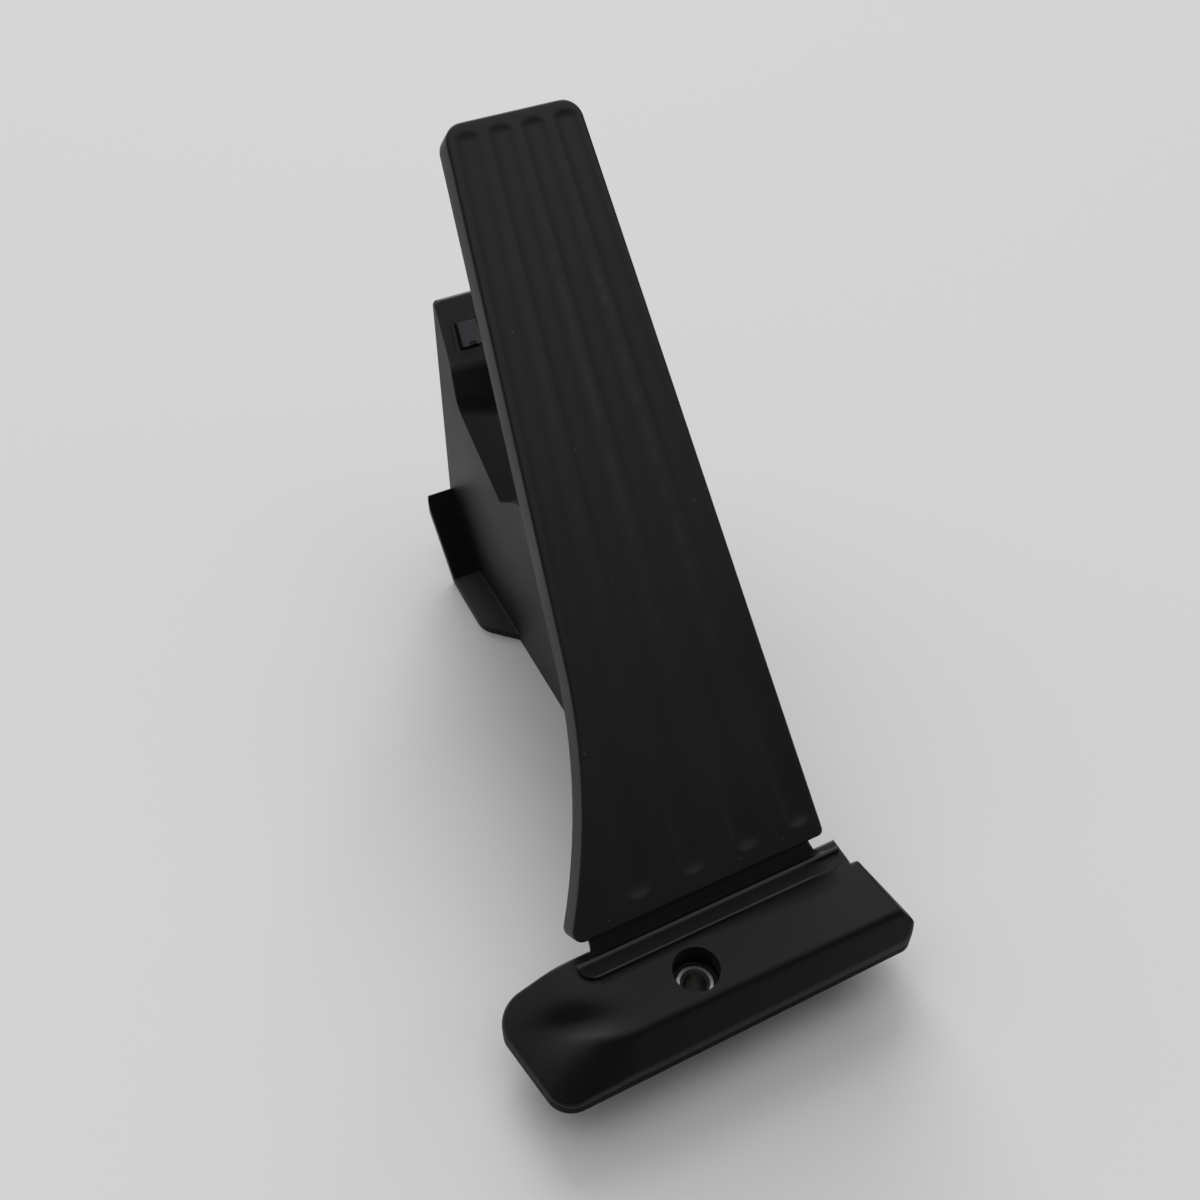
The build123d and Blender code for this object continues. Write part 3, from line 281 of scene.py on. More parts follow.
def finish(name, base, roughness, metallic=0.0, gloss=0.5, ior=1.5, grain=0.5, height=0.01, mottle=0.06,
           worn=0.05, soften=0.0, specks=None, painted_light=None, rubbed=None):
    """Node material: a fine grain in the surface, clouds in its tone and sheen, softened edges, dust, wear and
    painted light.

    Sizes are in millimetres: grain is the width of the surface's grain, height its depth, soften the edge radius.
    specks is the colour of dust, painted_light is light painted on the tower's upper faces, and rubbed is the gloss
    where the mesh says that it is rubbed.
    """
    material = bpy.data.materials.new(name)
    material.use_nodes = True
    tree = material.node_tree
    shader = tree.nodes["Principled BSDF"]
    shader.inputs["Metallic"].default_value = metallic
    shader.inputs["IOR"].default_value = ior
    shader.inputs["Specular IOR Level"].default_value = gloss
    place = put(tree, "ShaderNodeTexCoord").outputs["Object"]
    # Real moulding grain is a tenth of a millimetre or finer, too fine to show here, so it is drawn coarser
    texture = put(tree, "ShaderNodeTexNoise", named={"Vector": place, "Scale": 1 / (grain * MM), "Detail": 2.0})
    bump = put(tree, "ShaderNodeBump", named={"Strength": 1.0, "Distance": height * MM, "Height": texture})
    if soften:
        edge = put(tree, "ShaderNodeBevel", named={"Radius": soften * MM}, samples=BEVEL_SAMPLES)
        tree.links.new(edge.outputs[0], bump.inputs["Normal"])
    clouds = put(tree, "ShaderNodeTexNoise", named={"Vector": place, "Scale": 1 / CLOUD, "Detail": 5.0})
    tone = put(tree, "ShaderNodeMapRange", clouds, *NOISE_SPAN, 1 - mottle, 1 + mottle)
    sheen = put(tree, "ShaderNodeMapRange", clouds, *NOISE_SPAN, roughness - worn, roughness + worn)
    last = put(tree, "ShaderNodeMix", data_type="RGBA", blend_type="MULTIPLY",
               named={0: 1.0, 6: base, 7: tone}).outputs[2]
    if specks:
        cells = put(tree, "ShaderNodeTexVoronoi", named={"Vector": place, "Scale": 1 / SPECK_SPACING})
        chosen = put(tree, "ShaderNodeMath", cells.outputs["Color"], SPECK_CELLS, operation="GREATER_THAN")
        small = put(tree, "ShaderNodeMath", cells.outputs["Distance"], SPECK_SIZE, operation="LESS_THAN")
        here = put(tree, "ShaderNodeMath", chosen, small, operation="MULTIPLY")
        streaks = put(tree, "ShaderNodeTexNoise", named={"Vector": place, "Scale": 1 / STREAK, "Detail": 4.0})
        patchy = put(tree, "ShaderNodeMapRange", streaks, *STREAK_SPAN, *STREAK_SHARE)
        dust = put(tree, "ShaderNodeAttribute", attribute_name="dust").outputs["Fac"]
        lines = put(tree, "ShaderNodeMath", dust, patchy, operation="MULTIPLY")
        faint = put(tree, "ShaderNodeMath", here, SPECK_SHARE, lines, operation="MULTIPLY_ADD")
        last = put(tree, "ShaderNodeMix", data_type="RGBA", named={0: faint, 6: last, 7: specks}).outputs[2]
    if rubbed:
        where = put(tree, "ShaderNodeAttribute", attribute_name="rubbed").outputs["Fac"]
        polish = put(tree, "ShaderNodeMapRange", where, 0.0, 1.0, gloss, rubbed)
        tree.links.new(polish.outputs[0], shader.inputs["Specular IOR Level"])
    # Painted light: a pale tint on the tower's upper faces that look out like the pad, standing in for light
    # falling there
    if painted_light:
        up = put(tree, "ShaderNodeSeparateXYZ", place).outputs["Z"]
        high = put(tree, "ShaderNodeMapRange", up, *PAINTED_LIGHT_FROM)
        normal = put(tree, "ShaderNodeNewGeometry").outputs["Normal"]
        facing = put(tree, "ShaderNodeVectorMath", normal, tuple(PAD_OUT), operation="DOT_PRODUCT")
        shown = put(tree, "ShaderNodeMapRange", facing.outputs["Value"], *PAINTED_LIGHT_FACING, 0.0, PAINTED_LIGHT_SHARE)
        lit_share = put(tree, "ShaderNodeMath", high, shown, operation="MULTIPLY")
        last = put(tree, "ShaderNodeMix", data_type="RGBA", named={0: lit_share, 6: last, 7: painted_light}).outputs[2]
    tree.links.new(last, shader.inputs["Base Color"])
    tree.links.new(sheen.outputs[0], shader.inputs["Roughness"])
    tree.links.new(bump.outputs[0], shader.inputs["Normal"])
    return material


def dress(material, *nodes):
    """Gives CAD nodes a finish."""
    for node in nodes:
        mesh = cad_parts[node].data
        mesh.materials.clear()
        mesh.materials.append(material)


def add_piece(name, mesh, body=None, node=None):
    """Puts a mesh into the scene as a piece that rides on a body and stands for a CAD node."""
    piece = bpy.data.objects.new(name, mesh)
    bpy.context.scene.collection.objects.link(piece)
    if node:
        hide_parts(node)
    if body:
        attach(piece, body)
    return piece


def apply_tree(name, mesh, tree, inputs):
    """Runs a geometry tree on a mesh with the inputs given by name, and returns the result as a plain mesh."""
    carrier = bpy.data.objects.new(name, mesh)
    bpy.context.scene.collection.objects.link(carrier)
    modifier = carrier.modifiers.new(name, "NODES")
    modifier.node_group = tree
    for item in tree.interface.items_tree:
        if item.name in inputs:
            modifier[item.identifier] = inputs[item.name]
    depsgraph = bpy.context.evaluated_depsgraph_get()
    result = bpy.data.meshes.new_from_object(carrier.evaluated_get(depsgraph))
    carrier.modifiers.remove(modifier)
    bpy.data.objects.remove(carrier)
    result.name = name
    return result


def new_tree(name, **inputs):
    """Geometry tree with a geometry input and output and named inputs of the given socket types."""
    tree = bpy.data.node_groups.new(name, "GeometryNodeTree")
    tree.interface.new_socket("Geometry", in_out="INPUT", socket_type="NodeSocketGeometry")
    tree.interface.new_socket("Geometry", in_out="OUTPUT", socket_type="NodeSocketGeometry")
    for label, kind in inputs.items():
        tree.interface.new_socket(label, in_out="INPUT", socket_type="NodeSocket" + kind)
    return tree, put(tree, "NodeGroupInput").outputs


def end_tree(tree, geometry, material):
    """Closes a geometry tree with realised instances and a material."""
    real = put(tree, "GeometryNodeRealizeInstances", geometry)
    painted = put(tree, "GeometryNodeSetMaterial", named={"Geometry": real, "Material": material})
    put(tree, "NodeGroupOutput", painted)


def smooth(mesh, degrees=35):
    """Smooth shading that keeps edges sharper than the angle."""
    mesh.polygons.foreach_set("use_smooth", [True] * len(mesh.polygons))
    mesh.set_sharp_from_angle(angle=math.radians(degrees))


def open_loops(bm):
    """Closed rings of vertices round a mesh's open boundaries."""
    rest = {e for e in bm.edges if e.is_boundary}
    loops = []
    while rest:
        edge = rest.pop()
        loop = list(edge.verts)
        while True:
            edge = next((e for e in loop[-1].link_edges if e in rest), None)
            if edge is None:
                break
            rest.remove(edge)
            loop.append(edge.other_vert(loop[-1]))
        loops.append(loop[:-1])
    return loops


def inside_loops(points, loops):
    """Which flat points lie inside an odd number of loops, and how far each is from the nearest loop corner."""
    inside = np.zeros(len(points), bool)
    near = np.full(len(points), np.inf)
    for loop in loops:
        for (ax, ay), (bx, by) in zip(loop, np.roll(loop, -1, 0)):
            near = np.minimum(near, np.hypot(points[:, 0] - ax, points[:, 1] - ay))
            if ay != by:
                crosses = (ay > points[:, 1]) != (by > points[:, 1])
                inside ^= crosses & (points[:, 0] < (bx - ax) * (points[:, 1] - ay) / (by - ay) + ax)
    return inside, near


def relaid(node, is_top, flatten, lift, step, round_over, sink=None):
    """Merged copy of a CAD node whose top skin is laid out anew as a fine even mesh with a rounded outer edge.

    is_top picks the faces to renew, flatten gives a point's two flat coordinates, and lift places a flat point at
    a depth below the skin. sink is a height, and how far faces that look down above that height are lowered.
    """
    bm = bmesh.new()
    bm.from_mesh(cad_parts[node].data)
    rubbed = bm.verts.layers.float.new("rubbed")
    bmesh.ops.remove_doubles(bm, verts=bm.verts, dist=MERGE)
    bm.normal_update()
    if sink:
        above, drop = sink
        for vert in {v for f in bm.faces if f.normal.z < LOOKS_DOWN for v in f.verts if v.co.z > above}:
            vert.co.z -= drop
    bmesh.ops.delete(bm, geom=[f for f in bm.faces if is_top(f)], context="FACES")
    for edge in [e for e in bm.edges if e.is_boundary]:
        vert, far = edge.verts
        for left in range(int(edge.calc_length() / step) + 1, 1, -1):
            bmesh.utils.edge_split(next(e for e in vert.link_edges if far in e.verts), vert, 1 / left)
            # A vertex that a split has just made has the index -1
            beside = (e.other_vert(far) for e in far.link_edges if e.is_boundary)
            vert = next(v for v in beside if v.index == -1)
            vert.index = 0
    loops = open_loops(bm)
    flats = [np.array([flatten(v.co) for v in loop]) for loop in loops]
    flats, loops = zip(*sorted(zip(flats, loops), key=lambda pair: -np.ptp(pair[0])))
    rim = flats[0]
    for vert, place in zip(loops[0], rim):
        vert.co = lift(*place, round_over)
    ahead = np.roll(rim, -1, 0) - np.roll(rim, 1, 0)
    inward = np.stack([-ahead[:, 1], ahead[:, 0]], 1) / np.linalg.norm(ahead, axis=1)[:, None]
    area = np.sum(rim[:, 0] * np.roll(rim[:, 1], -1) - np.roll(rim[:, 0], -1) * rim[:, 1])
    inward *= math.copysign(1, area)
    across, along = (np.arange(low, high, step) for low, high in zip(rim.min(0), rim.max(0)))
    grid = np.stack(np.meshgrid(across, along), -1).reshape(-1, 2)
    inside, near = inside_loops(grid, flats)
    grid = grid[inside & (near > round_over + GRID_ROOM * step)]
    points, depths = [*flats, grid], [np.zeros(sum(len(f) for f in flats) + len(grid))]
    for turn in np.radians(ROUND_TURNS):
        inset = round_over * (1 - math.cos(turn))
        ring = rim + inward * inset
        inside, near = inside_loops(ring, flats)
        ring = ring[inside & (near > RING_ROOM * inset)]
        points.append(ring)
        depths.append(np.full(len(ring), round_over * (1 - math.sin(turn))))
    flat, deep = np.concatenate(points), np.concatenate(depths)
    border, first = [], 0
    for loop in flats:
        border += [(first + i, first + (i + 1) % len(loop)) for i in range(len(loop))]
        first += len(loop)
    corners = [vert for loop in loops for vert in loop]
    _, _, faces, sources, _, _ = delaunay_2d_cdt([Vector(p) for p in flat], border, [], INSIDE_BORDER, NEAREST)
    centres = np.array([np.mean([flat[sources[i][0]] for i in face], 0) for face in faces])
    kept, _ = inside_loops(centres, flats)
    made = {}
    for index in {i for face, keep in zip(faces, kept) if keep for i in face}:
        source = sources[index][0]
        made[index] = corners[source] if source < len(corners) else bm.verts.new(lift(*flat[source], deep[source]))
        made[index][rubbed] = RUBBED_SIDE if source < len(rim) else RUBBED_EDGE if deep[source] > 0 else RUBBED_SKIN
    for face, keep in zip(faces, kept):
        if keep:
            bm.faces.new([made[i] for i in face])
    bmesh.ops.recalc_face_normals(bm, faces=bm.faces)
    mesh = bpy.data.meshes.new(node)
    bm.to_mesh(mesh)
    bm.free()
    return mesh


def pad_blank(step):
    """Pad with a finely laid top face and a rounded edge, ready for the flutes."""
    return relaid("pedal_pad",
                  lambda face: all((PAD_FOOT - v.co).dot(PAD_OUT) < PAD_SKIN for v in face.verts),
                  lambda place: (place.x, (place - PAD_FOOT).dot(PAD_UP)),
                  lambda x, t, deep: PAD_FOOT + Vector((x, 0, 0)) + PAD_UP * t - PAD_OUT * deep, step, PAD_ROUND)


def flute_tree(material):
    """Sinks round-ended tapered flutes into the pad's top face, and notes where it is rubbed and dusty."""
    tree, given = new_tree("Flutes", **dict.fromkeys(FLUTE_INPUTS, "Float"))
    place = put(tree, "GeometryNodeInputPosition")
    from_foot = put(tree, "ShaderNodeVectorMath", place, tuple(PAD_FOOT), operation="SUBTRACT")
    up = put(tree, "ShaderNodeVectorMath", from_foot, tuple(PAD_UP), operation="DOT_PRODUCT").outputs["Value"]
    out = put(tree, "ShaderNodeVectorMath", from_foot, tuple(PAD_OUT), operation="DOT_PRODUCT").outputs["Value"]
    x = put(tree, "ShaderNodeSeparateXYZ", place).outputs["X"]
    low = put(tree, "ShaderNodeMath", given["Foot Gap"], given["Foot End"], operation="ADD")
    top_reach = put(tree, "ShaderNodeMath", given["Top Gap"], given["Top End"], operation="ADD")
    high = put(tree, "ShaderNodeMath", PAD_LENGTH, top_reach, operation="SUBTRACT")
    part = put(tree, "ShaderNodeMapRange", up, low, high, 0.0, 1.0)
    margin, pitch, width, end = (
        put(tree, "ShaderNodeMapRange", part, 0.0, 1.0, given["Foot " + size], given["Top " + size])
        for size in ("Margin", "Pitch", "Width", "End"))
    from_right = put(tree, "ShaderNodeMath", PAD_RIGHT, x, operation="SUBTRACT")
    past_margin = put(tree, "ShaderNodeMath", from_right, margin, operation="SUBTRACT")
    row = put(tree, "ShaderNodeMath", past_margin, pitch, operation="DIVIDE")
    last = put(tree, "ShaderNodeMath", given["Count"], 1.0, operation="SUBTRACT")
    nearest = put(tree, "ShaderNodeMath", row, operation="ROUND")
    nearest = put(tree, "ShaderNodeClamp", nearest, 0.0, last)
    off_row = put(tree, "ShaderNodeMath", row, nearest, operation="SUBTRACT")
    aside = put(tree, "ShaderNodeMath", off_row, pitch, operation="MULTIPLY")
    half = put(tree, "ShaderNodeMath", width, 0.5, operation="MULTIPLY")
    sideways = put(tree, "ShaderNodeMath", aside, half, operation="DIVIDE")
    between = put(tree, "ShaderNodeClamp", up, low, high)
    beyond = put(tree, "ShaderNodeMath", up, between, operation="SUBTRACT")
    endways = put(tree, "ShaderNodeMath", beyond, end, operation="DIVIDE")
    share = put(tree, "ShaderNodeCombineXYZ", sideways, endways)
    reach = put(tree, "ShaderNodeVectorMath", share, operation="LENGTH").outputs["Value"]
    squared = put(tree, "ShaderNodeMath", reach, 2.0, operation="POWER")
    arc = put(tree, "ShaderNodeMath", 1.0, squared, operation="SUBTRACT")
    dip = put(tree, "ShaderNodeMath", arc, 0.0, FLUTE_LIP, operation="SMOOTH_MAX")
    deep = put(tree, "ShaderNodeMapRange", part, 0.0, FLUTE_SHALLOWS, given["Foot Depth"], given["Depth"])
    sunk = put(tree, "ShaderNodeMath", dip, deep, operation="MULTIPLY")
    on_top = put(tree, "ShaderNodeMath", out, ON_TOP, operation="GREATER_THAN")
    sunk = put(tree, "ShaderNodeMath", sunk, on_top, operation="MULTIPLY")
    shift = put(tree, "ShaderNodeVectorMath", tuple(-PAD_OUT), named={"Scale": sunk}, operation="SCALE")
    # Shoes rub the top face shiny, most of all its upper part
    wear = put(tree, "ShaderNodeMapRange", part, *WEAR_ALONG)
    worn = put(tree, "ShaderNodeMath", on_top, wear, operation="MULTIPLY")
    rubbed = put(tree, "GeometryNodeStoreNamedAttribute", domain="POINT",
                 named={"Geometry": given["Geometry"], "Name": "rubbed", "Value": worn})
    moved = put(tree, "GeometryNodeSetPosition", named={"Geometry": rubbed, "Offset": shift})
    # Dust stays in thin lines on the ridges between the flutes
    off_middle = put(tree, "ShaderNodeMath", off_row, operation="ABSOLUTE")
    off_ridge = put(tree, "ShaderNodeMath", 0.5, off_middle, operation="SUBTRACT")
    from_ridge = put(tree, "ShaderNodeMath", off_ridge, pitch, operation="MULTIPLY")
    from_ridge = put(tree, "ShaderNodeMath", from_ridge, operation="ABSOLUTE")
    past_last = put(tree, "ShaderNodeMath", last, DUST_PAST_LAST)
    dusty = put(tree, "ShaderNodeMapRange", from_ridge, *DUST_LINE)
    for limit in (put(tree, "ShaderNodeMapRange", row, 0.0, past_last, 1.0, 0.0),
                  put(tree, "ShaderNodeMapRange", part, *DUST_ALONG),
                  put(tree, "ShaderNodeMapRange", part, *DUST_TOP)):
        dusty = put(tree, "ShaderNodeMath", dusty, limit, operation="MULTIPLY")
    noted = put(tree, "GeometryNodeStoreNamedAttribute", domain="POINT",
                named={"Geometry": moved, "Name": "dust", "Value": dusty})
    end_tree(tree, noted, material)
    return tree


class PEDAL_OT_pad(bpy.types.Operator):
    """Pad with flutes pressed into its top face"""
    bl_idname = "pedal.pad"
    bl_label = "Fluted pad"

    def execute(self, context):
        sizes = context.scene.pedal_flutes
        colours = context.scene.pedal_finishes
        # Glass-filled nylon, moulded in an eroded tool: matt black with a fine grain that scatters the light
        nylon = finish("Moulded nylon, eroded grain", colours.pad, roughness=0.5, gloss=0.34, grain=0.55,
                       height=0.02, mottle=0.1, specks=colours.dust, rubbed=0.66)
        inputs = {label: float(getattr(sizes, label.lower().replace(" ", "_"))) for label in FLUTE_INPUTS}
        mesh = apply_tree("Fluted pad", pad_blank(sizes.step), flute_tree(nylon), inputs)
        smooth(mesh)
        add_piece("fluted_pad", mesh, "pedal", "pedal_pad")
        return {"FINISHED"}


def blend_low(a, b, width):
    """Lower of two heights, blended where they come within a width of each other."""
    share = max(width - abs(a - b), 0.0) / width
    return min(a, b) - share * share * width / 4


def foot_height(x, y):
    """Height of the foot's skin in mm: level land, falling ends and front slope, and a soft hollow at the left."""
    fall = LAND + (x - FALL["from"]) * FALL["steep"]
    side = LAND - (x - SIDE["from"] + SIDE["lean"] * y) * SIDE["steep"]
    height = blend_low(LAND, fall, FALL["soft"])
    middle_x, middle_y = CREASE["middle"]
    line = CREASE["y"] + CREASE["lean"] * max(x, middle_x)
    turn = math.degrees(math.atan2(max(middle_x - x, 0.0), max(middle_y - y, 0.0)))
    past = line - y if x > middle_x else math.hypot(x - middle_x, y - middle_y) - (middle_y - line)
    steep = CREASE["drop"] / (line - CREASE["rim"]) * np.interp(turn, *zip(*CREASE_FADE))
    soft = CREASE["soft"] + turn / CREASE["softer"]
    below = past if past > soft / 2 else max(past + soft / 2, 0.0) ** 2 / (2 * soft)
    height = blend_low(height - steep * below, side, SIDE["soft"])
    (at_x, at_y), (run_x, run_y) = HOLLOW["at"], HOLLOW["along"]
    along = (x - at_x) * run_x + (y - at_y) * run_y
    across = (y - at_y) * run_x - (x - at_x) * run_y
    wide = HOLLOW["back"] if across > 0 else HOLLOW["front"]
    return height - HOLLOW["deep"] * math.exp(-(along / HOLLOW["long"]) ** 2 / 2 - (across / wide) ** 2 / 2)


class PEDAL_OT_foot(bpy.types.Operator):
    """Foot with a soft hollow at its left end"""
    bl_idname = "pedal.foot"
    bl_label = "Foot"

    def execute(self, context):
        # Glass-filled nylon, moulded in an eroded tool: dull black, so that only its turned edges take the light
        nylon = finish("Moulded nylon, eroded foot", context.scene.pedal_finishes.foot, roughness=0.45, gloss=0.04,
                       height=0.012, rubbed=0.38)
        mesh = relaid("foot_cover", lambda face: face.normal.z > LOOKS_UP, lambda place: (place.x, place.y),
                      lambda x, y, deep: Vector((x, y, foot_height(x / MM, y / MM) * MM - deep)),
                      FOOT_STEP, FOOT_ROUND, FOOT_UNDERSIDE)
        mesh.materials.clear()
        mesh.materials.append(nylon)
        smooth(mesh)
        add_piece("soft_foot", mesh, "base", "foot_cover")
        return {"FINISHED"}


def leaf_rows():
    """Section of the hinge leaf from the flap's toe to the tongue's end: upper and lower points, Y and Z in mm."""
    tongue = [(PAD_FOOT + PAD_UP * t * MM - PAD_OUT * TONGUE_DEPTH * MM) / MM for t in TONGUE_STEPS]
    upper = [*LEAF_SECTION, *((place.y, place.z) for place in tongue)]
    lower = []
    for index, (y, z) in enumerate(upper):
        before, after = upper[max(index - 1, 0)], upper[min(index + 1, len(upper) - 1)]
        run = Vector((after[0] - before[0], after[1] - before[1])).normalized()
        lower.append((y, LAND) if y < WEB_FROM else (y + run.y * WEB_THICK, z - run.x * WEB_THICK))
    return upper, lower


def leaf_span(y, up_tongue):
    """Left and right end of the leaf in mm: rounded flap, flared web and a tongue trimmed at the left."""
    if y < LIP_Y:
        left, right = FLAP_ENDS
        short = min(max(FLAP_CORNER - (y - FLAP_CORNER_Y), 0.0), FLAP_CORNER)
        trim = FLAP_CORNER - math.sqrt(FLAP_CORNER ** 2 - short ** 2)
        return left + trim, right - trim
    left, right = WEB_ENDS
    short = max(WEB_FLARE - (y - LIP_Y), 0.0)
    wide = WEB_FLARE - math.sqrt(WEB_FLARE ** 2 - short ** 2)
    return left - wide + TONGUE_TRIM * up_tongue, right + wide


class PEDAL_OT_leaf(bpy.types.Operator):
    """Film hinge between the foot and the pad"""
    bl_idname = "pedal.leaf"
    bl_label = "Film hinge"

    def execute(self, context):
        # Polypropylene, moulded smooth: a soft sheen along its bead and front edge
        plastic = finish("Moulded polypropylene, smooth", context.scene.pedal_finishes.leaf, roughness=0.45,
                         gloss=0.04, height=0.006, rubbed=0.6)
        upper, lower = leaf_rows()
        gaps = LEAF_STATIONS - 1
        bm = bmesh.new()
        rubbed = bm.verts.layers.float.new("rubbed")
        layers = []
        for points in (upper, lower):
            rows = []
            for index, (y, z) in enumerate(points):
                upper_y = upper[index][0]
                left, right = leaf_span(upper_y, ramp(index, len(LEAF_SECTION), len(upper) - 1))
                front = ramp(y, TOE_BACK, TOE_FRONT)
                ridge = FRONT_EDGE[0] < y < FRONT_EDGE[1] or BEAD[0] < y < BEAD[1]
                row = []
                for j in range(LEAF_STATIONS):
                    x = left + (right - left) * j / gaps
                    sunk = ramp(x, *SINK_ACROSS)
                    flat = SINK_SHARE * sunk * sunk * (3 - 2 * sunk) if upper_y < FLAP_BACK else 0.0
                    toe = front * ramp(x, *TOE_ACROSS) * TOE_GROWS
                    vert = bm.verts.new(Vector((x, y - toe, z + (LAND - z) * flat)) * MM)
                    if ridge:
                        vert[rubbed] = 1.0 - LESS_WHERE_SUNK * sunk if y < FLAP_BACK else 1.0
                    else:
                        vert[rubbed] = RUBBED_FLAP + RUBBED_MORE * (max(front, sunk) if y < FLAP_BACK else 1.0)
                    row.append(vert)
                rows.append(row)
            layers.append(rows)
        top, under = layers
        for rows in layers:
            for a, b in zip(rows, rows[1:]):
                for j in range(gaps):
                    bm.faces.new((a[j], a[j + 1], b[j + 1], b[j]))
        for i in range(len(top) - 1):
            for j in (0, -1):
                bm.faces.new((top[i][j], top[i + 1][j], under[i + 1][j], under[i][j]))
        for i in (0, -1):
            for j in range(gaps):
                bm.faces.new((top[i][j], top[i][j + 1], under[i][j + 1], under[i][j]))
        bmesh.ops.remove_doubles(bm, verts=bm.verts, dist=LEAF_MERGE)
        bmesh.ops.recalc_face_normals(bm, faces=bm.faces)
        mesh = bpy.data.meshes.new("Film hinge")
        bm.to_mesh(mesh)
        bm.free()
        mesh.materials.append(plastic)
        smooth(mesh, degrees=50)
        piece = add_piece("film_hinge", mesh, node="hinge_leaf")
        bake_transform(piece)
        return {"FINISHED"}


class PEDAL_OT_mouldings(bpy.types.Operator):
    """Finishes of the housing with light painted on its tower, the snap latch painted pale as a highlight, the
    foot's bush and the pieces inside
    """
    bl_idname = "pedal.mouldings"
    bl_label = "Mouldings and inner pieces"

    def execute(self, context):
        colours = context.scene.pedal_finishes
        # Glass-filled nylon, moulded in a polished tool: satin black, so that grazing light shows on the long
        # walls, and light painted on the tower
        dress(finish("Moulded nylon, satin, painted light", colours.housing, roughness=0.48, gloss=0.27, grain=0.4, height=0.008,
                     soften=0.9, painted_light=colours.painted_light), "base_housing", "housing_cover")
        # Acetal, moulded in a polished tool: shinier than the housing round it, and painted pale grey as a
        # highlight for the light its ramp catches
        dress(finish("Moulded acetal, painted highlight", colours.lit_catch, roughness=0.3, height=0.004, soften=0.3),
              "latch_catch")
        # Acetal, moulded: smooth and slightly waxy where it slides
        dress(finish("Moulded acetal, black", colours.lever, roughness=0.35, ior=1.48, height=0.004),
              "lever", "spring_seat")
        # Acetal, moulded and left uncoloured: milky white, with the same waxy sheen
        dress(finish("Moulded acetal, natural", colours.bearing, roughness=0.4, ior=1.48, height=0.004),
              "lever_bushes", "friction_washers")
        # Steel, turned and zinc plated: bright grey with a faint cloudy bloom
        dress(finish("Zinc-plated steel, turned", colours.steel, roughness=0.32, metallic=1.0, grain=0.3,
                     height=0.003, worn=0.1), "foot_bush", "lever_shaft")
        # Rubber, moulded: dead matt black
        dress(finish("Moulded rubber", colours.rubber, roughness=0.8, grain=0.4, height=0.02),
              "cover_seal", "idle_stop", "full_stop")
        # Glass-epoxy board under solder resist: glossy green
        dress(finish("Solder resist on glass epoxy", colours.board, roughness=0.25, height=0.004), "sensor_board")
        # Epoxy, transfer moulded: flat black
        dress(finish("Moulded epoxy", colours.chip, roughness=0.6), "sensor_chip")
        # Copper alloy strip, stamped and tinned: pale and bright
        dress(finish("Tinned copper alloy, stamped", colours.tin, roughness=0.28, metallic=1.0, height=0.002),
              "connector_pins")
        # Ferrite, sintered: dull grey and slightly open
        dress(finish("Sintered ferrite", colours.magnet, roughness=0.7, grain=0.3, height=0.02), "lever_magnet")
        return {"FINISHED"}


class PEDAL_OT_springs(bpy.types.Operator):
    """Two coil springs, one in the other, under the lever's heel"""
    bl_idname = "pedal.springs"
    bl_label = "Springs"

    def execute(self, context):
        sizes = context.scene.pedal_fastenings
        # Spring steel, drawn and oiled: dark bright lines along the wire
        wire = finish("Drawn spring steel", context.scene.pedal_finishes.wire, roughness=0.3, metallic=1.0,
                      grain=0.2, height=0.003)
        tree, given = new_tree("Coil spring", Radius="Float", Wire="Float", Turns="Float", Height="Float")
        spiral = put(tree, "GeometryNodeCurveSpiral", named={
            "Resolution": SPRING_STEPS, "Rotations": given["Turns"], "Start Radius": given["Radius"],
            "End Radius": given["Radius"], "Height": given["Height"]})
        ring = put(tree, "GeometryNodeCurvePrimitiveCircle", named={
            "Resolution": WIRE_SIDES, "Radius": given["Wire"]})
        tube = put(tree, "GeometryNodeCurveToMesh", named={
            "Curve": spiral, "Profile Curve": ring, "Fill Caps": True})
        lifted = put(tree, "GeometryNodeTransform", named={"Geometry": tube, "Translation": tuple(SPRING_FOOT)})
        end_tree(tree, lifted, wire)
        for name, node, radius, thick, turns in (
                ("outer_coil", "outer_spring", sizes.outer_radius, sizes.outer_wire, sizes.outer_turns),
                ("inner_coil", "inner_spring", sizes.inner_radius, sizes.inner_wire, sizes.inner_turns)):
            room = (SPRING_HEAD - SPRING_FOOT).z - thick
            mesh = apply_tree(name, bpy.data.meshes.new(name), tree, {
                "Radius": radius, "Wire": thick / 2, "Turns": turns, "Height": room})
            mesh.transform(Matrix.Translation((0, 0, thick / 2)))
            smooth(mesh, degrees=60)
            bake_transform(add_piece(name, mesh, node=node))
        return {"FINISHED"}


